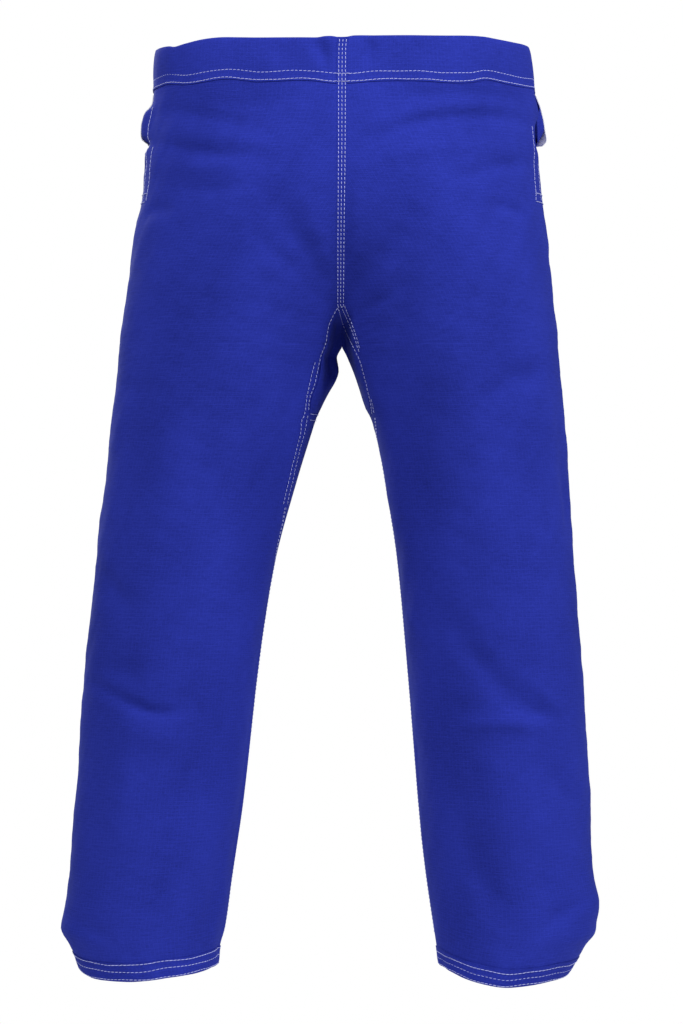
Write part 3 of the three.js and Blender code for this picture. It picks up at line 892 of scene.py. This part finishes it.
def stitch_row(points, normals, stretch=1.0):
    """Points of a row of stitches along a line of points on the cloth, each longer by stretch."""
    lengths = np.concatenate([[0], np.cumsum(np.linalg.norm(np.diff(points, axis=0), axis=-1))])
    count = int((lengths[-1] - ROW_START) / STITCH_PITCH)
    if count < 1:
        return np.zeros((0, 3))
    middles = ROW_START + STITCH_PITCH * (np.arange(count) + 0.5)

    def at(values, where):
        return np.stack([np.interp(where, lengths, values[:, k]) for k in range(3)], axis=-1)

    spots = at(points, middles)
    forward = at(points, middles + DIRECTION_REACH) - at(points, middles - DIRECTION_REACH)
    up = unit(at(normals, middles))
    forward = unit(forward - up * (forward * up).sum(axis=-1, keepdims=True))
    across = np.cross(up, forward)
    tilt = np.radians(STITCH_RNG.normal(*STITCH_TILT, count))[:, None]
    tilted_forward = forward * np.cos(tilt) + across * np.sin(tilt)
    tilted_across = across * np.cos(tilt) - forward * np.sin(tilt)
    length = stretch * STITCH_RNG.normal(1.0, STITCH_SPREAD, count)[:, None, None]
    shape = STITCH_POINTS[None, :, :]
    made = (
        spots[:, None, :]
        + tilted_forward[:, None, :] * shape[..., 0:1] * length
        + tilted_across[:, None, :] * shape[..., 1:2]
        + up[:, None, :] * shape[..., 2:3]
    )
    return made.reshape(-1, 3)


def stitches(name, rows, stretch=1.0):
    """One object of thread from rows, each a line of points and normals on the cloth."""
    made = np.concatenate([stitch_row(points, normals, stretch) for points, normals in rows])
    count = len(made) // len(STITCH_POINTS)
    faces = []
    for k in range(count):
        faces += [tuple(k * len(STITCH_POINTS) + v for v in face) for face in STITCH_FACES]
    return new_object(name, made, faces, THREAD)


# ---------------------------------------------------------------- leg panels

PANEL_COLUMNS = 84
# How far each edge of the side slit is from the middle of the side, as (z, gap). The right leg's front
# edge folds round towards the back.
SLIT_GAP = [
    (-1000, 0), (-156, 0), (-153, 0.5), (-120, 0.9), (-103, 0.5), (-88, 2.2), (-60, 0.8), (-38, 0.3),
]
FOLDED_EDGE = [
    (-1000, 0), (-156, 0), (-153, 0.5), (-112, 0.6), (-104, -2), (-97, -8), (-78, -9), (-62, -2),
    (-50, 0.3), (-38, 0.3),
]
# Rows of the panels' points above the split, as (top, bottom, step)
ROW_BANDS = [(PANEL_TOP_Z, -270, 4), (-270, -340, 1.75), (-340, SPLIT_Z, 4)]


def levels(bands):
    """Heights of rows from bands of (top, bottom, step)."""
    parts = [np.linspace(top, bottom, max(2, round((top - bottom) / step))) for top, bottom, step in bands]
    return np.concatenate([parts[0]] + [part[1:] for part in parts[1:]])


def places_of(side, face, phi, z):
    """Places on the flat cloth, measured from the middle of a leg's face."""
    return np.stack([(phi - math.pi / 2) * girth(side, face, z), z + 0 * phi], axis=-1)


def leg_panel(side, face):
    """The back or front of one leg, from under the waistband to the hem, cut above the knee."""
    z = levels(ROW_BANDS + [(SPLIT_Z, side["hem"] + 1.2, 4)])[:, None]
    share = np.linspace(0, 1, PANEL_COLUMNS)[None, :]
    folded = side is RIGHT and face == FRONT
    first = along(FOLDED_EDGE if folded else SLIT_GAP, z) / along(DEPTH[face], z)
    phi = first + share * (centre_angle(z) - first)
    z = z + 0 * phi
    points, normals = grid_on(side, face, phi, z)
    places = places_of(side, face, phi, z)
    split = len(levels(ROW_BANDS))
    ending = f"{FACE_NAMES[face]}_{side['name']}"
    for part, rows, follow, zones in (
        ("upper", slice(0, split), follow_hip, ("seat", "hip", "thigh")),
        ("lower", slice(split - 1, None), follow_knee, ("knee", "shin")),
    ):
        name = f"leg_{FACE_NAMES[face]}_{part}_{side['name']}"
        nodes = [f"{zone}_{ending}" for zone in zones]
        sew_on(name, [(points[rows], normals[rows], places[rows])], follow, side, nodes, ["waistband"])


# ---------------------------------------------------------------- waistband and hems

BAND_COLUMNS = 110
# Cross-sections of the folded strips as (distance out, height), from the outer edge round to the inner
BAND_PROFILE = [
    (0.45, -BAND_HEIGHT), (0.55, -45), (0.6, -38), (1.6, -28), (2.0, -16), (1.7, -6), (0.6, -1.2),
    (-1.0, -0.45), (-2.6, -1.4), (-3.6, -6), (-3.8, -16), (-3.4, -28), (-1.5, -38), (-1.3, -BAND_HEIGHT),
]
# Height of the waistband's top edge at the back, as (x, z)
WAIST_TOP = [
    (-199, 2.6), (-183, 2.5), (-163, 3.5), (-150, 4.6), (-130, 4.3), (-105, 3), (-70, 2), (-40, 1.2),
    (-12, 0.8), (-5, -0.5), (6, -0.6), (10, 0.3), (19, 0.2), (25, -0.8), (42, -0.7), (88, 0.3),
    (110, 1.5), (131, 2.6), (150, 1.7), (169, -1.1), (179, -2.7), (186, -1.1), (198, -0.4),
]
# Height of the waistband's upper row at the back, as (x, z)
WAIST_ROW = [
    (-204, -32), (-187, -34.4), (-168, -33.4), (-147, -31.2), (-130, -35.1), (-105, -36.3), (-78, -35.6),
    (-34, -36.8), (-10, -39), (10, -39), (29, -36.4), (48, -35.7), (86, -36.4), (98, -34.9), (120, -31.9),
    (161, -34.9), (184, -32), (198, -33.5),
]
ROW_GAP = 8.2
BAND_MARGIN = 1.8                       # cloth of the waistband below its lower row
# The drawcord's two outlets in the front of the waistband
EYELET_X = 18
EYELET_Z = -19
EYELET_BORE = 3.6
OUTLET_OUT = 0.9
OUTLET_DEPTH = 5
HEM_HEIGHT = 19
HEM_PROFILE = [
    (0.5, HEM_HEIGHT + 0.8), (0.5, 14), (0.9, 7), (0.6, 1.4), (-0.4, 0.4), (-1.4, 1.6), (-1.8, 7),
    (-1.35, 14), (-1.35, HEM_HEIGHT + 0.4),
]


def round_the_waist(side):
    """Signed angles from one centre seam round the side to the other, on one leg's half."""
    turn = np.linspace(math.pi / 2, -math.pi / 2, 2 * BAND_COLUMNS + 1)[:-1]
    return turn if side is LEFT else -turn


def waist_row(phi, x):
    """Height of the upper row of the waistband at an angle (below 0 on the front) and x."""
    at_front = -36 + 1.1 * np.sin(x / 23) + 0.6 * np.sin(x / 9)
    return np.where(phi >= 0, along(WAIST_ROW, x), at_front)


def band_height(side, face, phi, z):
    """The waistband's height z, moved to follow its rows below and its top edge above."""
    x = side["sign"] * WAIST_HALF * np.cos(phi)
    lower = waist_row(phi * face, x) - ROW_GAP - BAND_MARGIN
    upper = along(WAIST_TOP, x) if face == BACK else 0.8 + 0.7 * np.sin(x / 31)
    share = (z + BAND_HEIGHT) / BAND_HEIGHT
    return lower + share * (upper - lower)


def ring_points(path, section, place):
    """Cross-sections of a folded strip along a path of (side, face, angle), and its flat places.

    place(side, face, angle, rise) gives the height of a point of the section.
    """
    out, rise = section[:, 0], section[:, 1]
    rows = []
    places = []
    length = 0
    for side, face, phi in path:
        rows.append(surface(side, face, np.full(len(out), phi), place(side, face, phi, rise), out))
        if len(rows) > 1:
            length += np.linalg.norm(rows[-1][0] - rows[-2][0])
        places.append(np.stack([np.full(len(out), length), rise], axis=-1))
    return np.array(rows), np.array(places)


def waistband():
    """Folded waistband with the drawcord's channel in it, and two holes at the front."""
    path = []
    for side in SIDES:
        path += [(side, BACK if phi >= 0 else FRONT, abs(phi)) for phi in round_the_waist(side)]
    points, places = ring_points(path, folded_section(BAND_PROFILE), band_height)
    piece = band("waistband", points, places)
    for x in (-EYELET_X, EYELET_X):
        cut_hole(piece, x)
    place_again(piece, points.reshape(-1, 3), places.reshape(-1, 2))
    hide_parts("waistband_back", "waistband_front")
    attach(piece, "seat")
    declare_band(points)


def cut_hole(piece, x):
    """Cuts a cord outlet through the outer layer of the waistband's front."""
    spot, normal = spots_on(FRONT, np.array([x]), np.array([EYELET_Z]), OUTLET_OUT)
    bpy.ops.mesh.primitive_cylinder_add(vertices=32, radius=EYELET_BORE * MM, depth=OUTLET_DEPTH * MM)
    cutter = bpy.context.object
    cutter.location = spot[0] * MM
    cutter.rotation_mode = "QUATERNION"
    cutter.rotation_quaternion = Vector(normal[0]).to_track_quat("Z", "Y")
    cut = piece.modifiers.new("outlet", "BOOLEAN")
    cut.object = cutter
    cut.operation = "DIFFERENCE"
    bpy.context.view_layer.objects.active = piece
    bpy.ops.object.modifier_apply(modifier=cut.name)
    bpy.data.objects.remove(cutter)


def place_again(piece, points, places):
    """Gives each point of a cut piece the place of the nearest point before the cut."""
    near = KDTree(len(points))
    for i, point in enumerate(points * MM):
        near.insert(point, i)
    near.balance()
    if "cloth_mm" in piece.data.attributes:
        piece.data.attributes.remove(piece.data.attributes["cloth_mm"])
    write_places(piece.data, [places[near.find(v.co)[1]] for v in piece.data.vertices])


def hem_height(side, face, phi, z):
    """The height of a hem's point at z above its edge."""
    return side["hem"] + z


def hem(side):
    """Turned-up hem round one cuff."""
    name = side["name"]
    turn = np.linspace(0, math.pi, BAND_COLUMNS + 1)
    path = [(side, BACK, phi) for phi in turn[:-1]] + [(side, FRONT, phi) for phi in turn[:0:-1]]
    points, places = ring_points(path, folded_section(HEM_PROFILE), hem_height)
    piece = band(f"hem_{name}", points, places)
    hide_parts(f"hem_back_{name}", f"hem_front_{name}")
    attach(piece, f"shin_{name}")
    declare_band(points)


# ---------------------------------------------------------------- centre seams and gusset

SEAM_HALF_WIDTH = 5.6
SEAM_TOP_Z = -1.2
SEAM_END_Z = -280
# How far the seam strays to the left, and what share of its width is left, as (z, value)
SEAM_STRAY = [(-276, 1.4), (-200, 1.0), (-120, 0.2), (-14, -0.3), (0, -1.5)]
SEAM_NARROWING = [(-276, 0.72), (-240, 0.9), (0, 1)]
# How far it lies out of the panels, and how the waistband lifts it, as (height, from z, to z)
SEAM_LIFT = 0.75
SEAM_STEPS = [(1.3, -50, -45), (1.1, -40, -26), (-1.2, -7, -1)]
SEAM_EDGE_DROP = 0.6                    # the seam's edges turn down towards the panels
TAPE_HALF_WIDTH = 9
TAPE_TOP_Z = -50
TAPE_END_Z = GUSSET_TOP_Z + 5
TAPE_OUT = -1.0
GUSSET_BANDS = [(-279, -340, 1.5), (-340, GUSSET_END_Z, 4)]
GUSSET_OUT = 0.9
GUSSET_END_DROP = 0.7                   # the gusset's end sinks towards the panels over 10 mm


def seam_centre(z):
    """How far the centre seam's rows stray to the left at height z."""
    return along(SEAM_STRAY, z)


def seam_lift(z):
    """How far the centre seam's cloth lies out of the panels at height z."""
    lift = SEAM_LIFT
    for height, low, high in SEAM_STEPS:
        lift = lift + height * ease(z, low, high)
    return lift


def sew_on_seat(name, face, x, z, out, nodes):
    """A strip of cloth on one face of the seat, over places x and z."""
    points, normals = spots_on(face, x, z, out)
    sew_on(name, [(points, normals, np.stack([x, z], axis=-1))], follow_seat, None, nodes, ["waistband"])


def centre_seam(face):
    """Felled seam down the middle of the seat, over the waistband, and the tape inside it."""
    z = levels([(SEAM_TOP_Z, -52, 2), (-52, SEAM_END_Z, 4)])[:, None]
    across = np.linspace(-1, 1, 13)[None, :]
    x = seam_centre(z) + across * SEAM_HALF_WIDTH * along(SEAM_NARROWING, z)
    z = z + 0 * x
    out = seam_lift(z) - SEAM_EDGE_DROP * np.abs(across) ** 6
    sew_on_seat(f"centre_seam_{FACE_NAMES[face]}", face, x, z, out, ())
    z = levels([(TAPE_TOP_Z, TAPE_END_Z, 6)])[:, None]
    x = np.linspace(-TAPE_HALF_WIDTH, TAPE_HALF_WIDTH, 9)[None, :] + 0 * z
    z = z + 0 * x
    sew_on_seat(f"tape_{FACE_NAMES[face]}", face, x, z, TAPE_OUT, [f"centre_tape_{FACE_NAMES[face]}"])


def gusset(side):
    """One leg's half of the gusset, pointed at the centre seams and blunt on the inner thigh."""
    name = side["name"]
    grids = []
    for face in (BACK, FRONT):
        z = levels(GUSSET_BANDS)[:, None]
        edge = angle_at(side, along(GUSSET_EDGE[name], z), z)
        phi = edge + np.linspace(0, 1, 26)[None, :] * (centre_angle(z) - edge)
        z = z + 0 * phi
        out = GUSSET_OUT - GUSSET_END_DROP * ease(z, GUSSET_END_Z + 10, GUSSET_END_Z)
        points, normals = grid_on(side, face, phi, z, out)
        grids.append((points, normals, places_of(side, face, phi, z)))
    nodes = ["gusset"] if side is LEFT else []
    rests_on = [f"leg_back_upper_{name}", f"leg_front_upper_{name}"]
    sew_on(f"gusset_{name}", grids, follow_hip, side, nodes, rests_on)


# ---------------------------------------------------------------- patches, facings, loops and eyelets

EYELET_FLANGE = 7.2
EYELET_STITCHES = 40
EYELET_THREAD = 0.42
EYELET_OUT = 2.3
LOOP_X = 62
LOOP_WIDTH = 12
LOOP_OUTLINE = [(1.2, -5), (4.0, -6), (8.2, -11), (9.0, -16), (9.0, -26), (8.0, -31), (3.8, -36), (1.2, -37)]
LOOP_LIFT = 1.2
LOOP_CLOTH = 1.3
PATCH_LIFT = CLOTH + 0.1
# The knee patch as (low angle, high angle, top, bottom), and the hip patch as (end angle, top, bottom)
KNEE_PATCH = (math.radians(36), math.radians(144), -460, -706)
HIP_PATCH = (math.radians(52), -48, -102.8)
PATCH_EDGE = math.radians(0.3)
# How far the hip patch's corner turns out, and how much of the patch does so, across and up
PATCH_CORNER = {"left": 1.5, "right": 8.8}
CORNER_WIDTH = 10
CORNER_HEIGHT = 9
SLIT_END_Z = -165
FACING_TOP_Z = -47
FACING_ANGLE = math.radians(17)
FACING_LIFT = -3.2


def patch_grid(side, face, phi_range, z_range, out, columns=40, step=5):
    """Points, normals and flat places of a patch between two angles and two heights."""
    z = levels([(*z_range, step)])[:, None]
    phi = np.linspace(*phi_range, columns)[None, :] + 0 * z
    z = z + 0 * phi
    points, normals = grid_on(side, face, phi, z, out)
    return points, normals, places_of(side, face, phi, z)


def knee_patch(side):
    """Second layer of cloth over the front of the knee."""
    name = side["name"]
    low, high, top, bottom = KNEE_PATCH
    grid = patch_grid(side, FRONT, (low, high), (top, bottom), PATCH_LIFT)
    nodes = [f"knee_patch_{name}"]
    sew_on(f"knee_layer_{name}", [grid], follow_knee, side, nodes, [f"leg_front_lower_{name}"])


def hip_patch(side):
    """White woven patch on the front panel, with the corner beside the slit turned out a little."""
    name = side["name"]
    end, top, bottom = HIP_PATCH
    z = levels([(top, bottom, 2)])[:, None]
    phi = np.linspace(PATCH_EDGE, end, 60)[None, :] + 0 * z
    z = z + 0 * phi
    u = phi * girth(side, FRONT, z)
    near_slit = np.maximum(1 - u / CORNER_WIDTH, 0) ** 1.3
    near_bottom = np.exp(-((z - bottom - 4) / CORNER_HEIGHT) ** 2)
    out = PATCH_LIFT + PATCH_CORNER[name] * near_slit * near_bottom
    points, normals = grid_on(side, FRONT, phi, z, out)
    grid = (points, normals, places_of(side, FRONT, phi, z))
    sew_on(f"white_patch_{name}", [grid], follow_hip, side, [f"hip_patch_{name}"],
           [f"leg_front_upper_{name}"], material=PATCH_WHITE, slot="patch_white")


def side_facing(side):
    """Facing behind the side slit."""
    name = side["name"]
    angles = (0, FACING_ANGLE)
    heights = (FACING_TOP_Z, SLIT_END_Z - 3)
    grids = [patch_grid(side, face, angles, heights, FACING_LIFT, 14, 4) for face in (BACK, FRONT)]
    sew_on(f"slit_facing_{name}", grids, follow_hip, side, [f"side_facing_{name}"], ["waistband"])


def cord_loop(side):
    """Cloth loop on the front of the waistband, for the drawcord's bow."""
    name = side["name"]
    out, z = smooth_line(LOOP_OUTLINE, 40)
    x = side["sign"] * (LOOP_X + np.linspace(-0.5, 0.5, 7) * LOOP_WIDTH)[None, :] + 0 * z[:, None]
    middle, normal = spots_on(FRONT, x, z[:, None] + 0 * x, LOOP_LIFT)
    facing = unit(normal.mean(axis=(0, 1)))
    points = middle + facing * (out - LOOP_LIFT)[:, None, None]
    normals = unit(np.cross(np.gradient(points, axis=0), np.gradient(points, axis=1)))
    normals *= np.sign((normals * facing).sum())
    places = np.stack([x, np.cumsum(np.full(x.shape, 1.1), axis=0)], axis=-1)
    sew_on(f"bow_loop_{name}", [(points, normals, places)], follow_seat, side, [f"cord_loop_{name}"],
           ["waistband"], thickness=LOOP_CLOTH)


def sewn_eyelet(side):
    """Ring of satin stitches round a cord outlet."""
    x = side["sign"] * EYELET_X
    spot, normal = spots_on(FRONT, np.array([x]), np.array([EYELET_Z]), EYELET_OUT)
    up = normal[0]
    across = unit(np.cross((0, 0, 1), up))
    upward = np.cross(up, across)
    reach = np.linspace(EYELET_BORE - 0.5, EYELET_FLANGE, 9)
    rise = 0.5 * np.sin(np.linspace(0.15, 1, 9) * math.pi) - 0.3
    rows = []
    for k in range(EYELET_STITCHES):
        turn = 2 * math.pi * k / EYELET_STITCHES
        ray = across * math.cos(turn) + upward * math.sin(turn)
        rows.append(spot[0] + ray * reach[:, None] + up * rise[:, None])
    eyelet = tubes(f"sewn_eyelet_{side['name']}", rows, EYELET_THREAD)
    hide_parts(f"cord_eyelet_{side['name']}")
    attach(eyelet, "seat")


def tubes(name, lines, radius):
    """One thread object made of tubes along lines of points."""
    points, faces = [], []
    for line in lines:
        start = len(points)
        end = start + (len(line) - 1) * THREAD_SIDES
        step = unit(np.gradient(line, axis=0))
        first = unit(np.cross(step, step[0][[1, 2, 0]]))
        second = np.cross(step, first)
        for k in range(len(line)):
            for turn in np.arange(THREAD_SIDES) * 2 * math.pi / THREAD_SIDES:
                points.append(line[k] + radius * (first[k] * math.cos(turn) + second[k] * math.sin(turn)))
        for base in range(start, end, THREAD_SIDES):
            for k in range(THREAD_SIDES):
                a, b = base + k, base + (k + 1) % THREAD_SIDES
                faces.append((a, a + THREAD_SIDES, b + THREAD_SIDES, b))
        faces.append(tuple(range(start, start + THREAD_SIDES)))
        faces.append(tuple(reversed(range(end, end + THREAD_SIDES))))
    return new_object(name, points, faces, THREAD)


# ---------------------------------------------------------------- sewing

SEAM_ROW_GAP = 3.5
SEAM_ROW_SPREAD = [(-276, 0.86), (-120, 0.97), (0, 1)]
SEAM_CROSSING = 8.5
# Angles of the two rows beside the slit as (z, degrees), the near row and each side's far row, and the
# heights where the two start at the back
SLIT_NEAR_ROW = [(-165, 8.4), (-50, 8.4)]
SLIT_FAR_ROW = {"left": [(-165, 15.6), (-50, 15.6)], "right": [(-165, 19), (-132, 15.6), (-50, 15)]}
SLIT_ROW_TOPS = {"left": (-62, -106), "right": (-122, -84)}
SLIT_BOX = 9                            # height of the box that ends the rows
PATCH_INSET = 2                         # the hip patch's rows, from its bottom and top edges
PATCH_INSET_ANGLE = 0.02
PATCH_ROW_START = -0.03
KNEE_ROW_INSETS = (2.5, 8)
KNEE_RADIUS = 100                       # about the leg's, which turns insets into angles
# How far rows lie out of the panels: on a panel, over one more layer, over the gusset and the patches
ON_PANEL = 0.05
ON_LAYER = 0.95
ON_GUSSET = {BACK: 0.9, FRONT: 0.4}
ON_PATCH = 1.5
ON_BOX = 0.45
ON_HEM_EDGE = 1.0


def places_line(face, path, steps=120):
    """Points and normals of a row over the gusset, along a smooth line of (x, z) places on one face."""
    x, z = smooth_line(path, steps)
    return spots_on(face, x, z, ON_GUSSET[face])


def sew_waistband():
    """Two rows all round the waistband's lower edge, and over the centre seams."""
    rows = []
    for side in SIDES:
        phi = round_the_waist(side)
        x = side["sign"] * WAIST_HALF * np.cos(phi)
        for below in (0, ROW_GAP):
            wobble = 0.25 * np.sin(x / 7 + below)
            rows.append(cloth_row(side, phi, waist_row(phi, x) - below + wobble, ON_LAYER))
    x = np.linspace(-SEAM_CROSSING, SEAM_CROSSING, 30)
    for face in (BACK, FRONT):
        for below in (0, ROW_GAP):
            z = waist_row(face, x) - below
            rows.append(spots_on(face, x, z, seam_lift(z) + 0.1))
    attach(stitches("sewing_waistband", rows, LONG_STITCH), "seat")


def sew_centre_seam(face):
    """Three rows down a centre seam, and at the back a short bar across its end."""
    z = np.linspace(-2.5, SEAM_END_Z + 0.5, 160)
    gap = SEAM_ROW_GAP * along(SEAM_ROW_SPREAD, z)
    rows = [spots_on(face, seam_centre(z) + k * gap, z, seam_lift(z)) for k in (-1, 0, 1)]
    if face == BACK:
        bar = [(-2.5, SEAM_END_Z + 2), (0.5, SEAM_END_Z + 1.2), (4.5, SEAM_END_Z + 1.4)]
        rows.append(places_line(BACK, bar, 12))
    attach(stitches(f"sewing_centre_{FACE_NAMES[face]}", rows), "seat")


# Rows beside the gusset's edge at the back, as (x, z). The right leg's three carry on the centre seam's.
GUSSET_ROWS = {
    "left": [
        [(4, -279), (7.4, -284), (13.1, -294.8), (16.6, -307.3), (18.8, -317.5), (25.7, -335.5),
         (31.5, -358.6), (36.1, -375.6), (37.2, -389)],
        [(29.2, -335.5), (33.8, -352.8), (38.3, -373.3), (40.9, -391), (43.4, -398), (46.3, -416),
         (54, -446), (64, SPLIT_Z)],
        [(37.5, -391), (40, -403), (43, -416), (50.5, -446), (60.5, SPLIT_Z)],
        [(35.3, -390.3), (26, -390.6)],
        [(35.3, -396.4), (28, -396.8)],
    ],
    "right": [
        [(3.7, -277), (2.8, -283.8), (-4, -301.7), (-10, -313), (-15.5, -323), (-20.5, -333), (-23.6, -343),
         (-27, -357.3), (-31.6, -375.6), (-33.4, -390.5)],
        [(1.1, -277), (-1.8, -283.8), (-8.7, -296.2), (-17.8, -317.8), (-21, -327)],
        [(-2.4, -277), (-6.2, -285.5), (-11.2, -295), (-18.9, -315), (-22, -326)],
        [(-33, -374), (-36, -390)],
    ],
}
# The inner leg seam's rows above and below the panels' split, as (degrees, z)
INSEAM_ROWS = {"left": [], "right": [(165, -393), (172, -410), (180, -430), (184, SPLIT_Z)]}
INSEAM_END = {
    "left": [(163.5, SPLIT_Z), (171, -530), (180, -560), (184, -700), (184, -960)],
    "right": [(184, SPLIT_Z), (184, -960)],
}


def angle_line(side, path, shift):
    """Points and normals along a smooth line of (degrees, z), shifted by some degrees."""
    degrees, z = smooth_line(path, 200)
    return cloth_row(side, np.radians(degrees + shift), z, ON_PANEL)


def sew_leg(side):
    """Rows of the gusset, the inner leg, the side slit, the knee patch and the hem of one leg."""
    name = side["name"]
    gusset_rows = [places_line(BACK, path) for path in GUSSET_ROWS[name]]
    for shift in (2.0, 5.0):
        edge = [(side["sign"] * (x + shift), z) for z, x in GUSSET_EDGE[name]]
        gusset_rows.append(places_line(FRONT, edge))
    if INSEAM_ROWS[name]:
        gusset_rows += [angle_line(side, INSEAM_ROWS[name], shift) for shift in (0, -1.6)]
    follow_hip(stitches(f"sewing_gusset_{name}", gusset_rows), side)
    inseam_rows = [angle_line(side, INSEAM_END[name], shift) for shift in (0, -1.8)]
    follow_knee(stitches(f"sewing_inseam_{name}", inseam_rows), side)
    follow_hip(stitches(f"sewing_slit_{name}", slit_rows(side), LONG_STITCH), side)
    follow_knee(stitches(f"sewing_knee_{name}", knee_rows(side)), side)
    turn = np.linspace(0, 2 * math.pi, 240)
    hem_rows = []
    for above in side["hem_rows"]:
        wobble = 0.5 * np.sin(turn * 5 + above) + 0.3 * np.sin(turn * 11)
        lift = ON_HEM_EDGE if above < 5 else ON_LAYER
        hem_rows.append(cloth_row(side, turn, side["hem"] + above + wobble, lift))
    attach(stitches(f"sewing_hem_{name}", hem_rows, LONG_STITCH), f"shin_{name}")


def slit_rows(side):
    """Rows down both edges of the side slit and across its end, and along the hip patch's end and bottom."""
    rows = []
    tops = SLIT_ROW_TOPS[side["name"]]
    far_row = SLIT_FAR_ROW[side["name"]]
    for angles, top in zip((SLIT_NEAR_ROW, far_row), tops):
        z = np.linspace(top, SLIT_END_Z, 90)
        rows.append(cloth_row(side, np.radians(along(angles, z)), z, ON_PANEL))
        z = np.linspace(HIP_PATCH[2] - 4, SLIT_END_Z, 60)
        rows.append(cloth_row(side, -np.radians(along(angles, z)), z, ON_PANEL))
    for z in (SLIT_END_Z, SLIT_END_Z + SLIT_BOX):
        reach = math.radians(along(far_row, z))
        rows.append(cloth_row(side, np.linspace(-reach, reach, 40), z, ON_BOX))
    end, top, bottom = HIP_PATCH
    z = np.linspace(top - PATCH_INSET, bottom + PATCH_INSET, 40)
    rows.append(cloth_row(side, 0 * z - end + PATCH_INSET_ANGLE, z, ON_PATCH))
    turn = np.linspace(PATCH_ROW_START, PATCH_INSET_ANGLE - end, 60)
    rows.append(cloth_row(side, turn, bottom + PATCH_INSET, ON_PATCH))
    return rows


def knee_rows(side):
    """Two rows round the knee patch."""
    low, high, top, bottom = KNEE_PATCH
    rows = []
    for inset in KNEE_ROW_INSETS:
        shift = inset / KNEE_RADIUS
        z = np.linspace(top - inset, bottom + inset, 120)
        for angle in (low + shift, high - shift):
            rows.append(cloth_row(side, 0 * z - angle, z, ON_LAYER))
        turn = np.linspace(-low - shift, shift - high, 120)
        for height in (top - inset, bottom + inset):
            rows.append(cloth_row(side, turn, height, ON_LAYER))
    return rows


# ---------------------------------------------------------------- the whole garment

def build():
    """Makes every piece, the cloth before the sewing on it."""
    waistband()
    for side in SIDES:
        leg_panel(side, BACK)
        leg_panel(side, FRONT)
        for make in (gusset, hem, knee_patch, hip_patch, side_facing, cord_loop, sewn_eyelet, sew_leg):
            make(side)
    sew_waistband()
    for face in (BACK, FRONT):
        centre_seam(face)
        sew_centre_seam(face)


build()


# ---------------------------------------------------------------- camera, light and floor

def aim(thing, target):
    """Turns a light or camera to face a point."""
    thing.rotation_euler = (Vector(target) - thing.location).to_track_quat("-Z", "Y").to_euler()


def area_light(name, place, size, energy, target):
    """A round soft light that faces a point."""
    lamp = bpy.data.lights.new(name, "AREA")
    lamp.shape = "DISK"
    lamp.size = size
    lamp.energy = energy
    lit = bpy.data.objects.new(name, lamp)
    lit.location = place
    bpy.context.collection.objects.link(lit)
    aim(lit, target)


def studio():
    """White studio with three soft lights, and one camera behind the trousers at mid height."""
    world = bpy.data.worlds.new("studio")
    world.use_nodes = True
    tree = world.node_tree
    seen = tree.nodes.new("ShaderNodeLightPath").outputs["Is Camera Ray"]
    strength = maths(tree, "MULTIPLY_ADD", seen, 1 - FILL)
    strength.node.inputs[2].default_value = FILL
    tree.links.new(strength, tree.nodes["Background"].inputs["Strength"])
    tree.nodes["Background"].inputs["Color"].default_value = (1, 1, 1, 1)
    bpy.context.scene.world = world
    bpy.context.scene.view_settings.view_transform = "Standard"
    for light in LIGHTS:
        area_light(*light)
    camera = bpy.data.objects.new("camera", bpy.data.cameras.new("camera"))
    camera.data.lens = CAMERA_LENS
    camera.data.sensor_width = CAMERA_SENSOR
    camera.location = (CAMERA_X, CAMERA_DISTANCE, CAMERA_HEIGHT)
    camera.rotation_euler = (math.radians(90), 0, math.radians(180))
    bpy.context.collection.objects.link(camera)
    bpy.context.scene.camera = camera


def floor():
    """Plain pale floor below the cuffs."""
    place = (0, 0, FLOOR_Z)
    bpy.ops.mesh.primitive_circle_add(vertices=96, radius=FLOOR_RADIUS, fill_type="NGON", location=place)
    disc = bpy.context.object
    disc.name = "floor"
    material = bpy.data.materials.new("pale_floor")
    material.use_nodes = True
    shader = material.node_tree.nodes["Principled BSDF"]
    shader.inputs["Base Color"].default_value = (FLOOR_GREY, FLOOR_GREY, FLOOR_GREY, 1)
    shader.inputs["Roughness"].default_value = 0.9
    disc.data.materials.append(material)


studio()
floor()
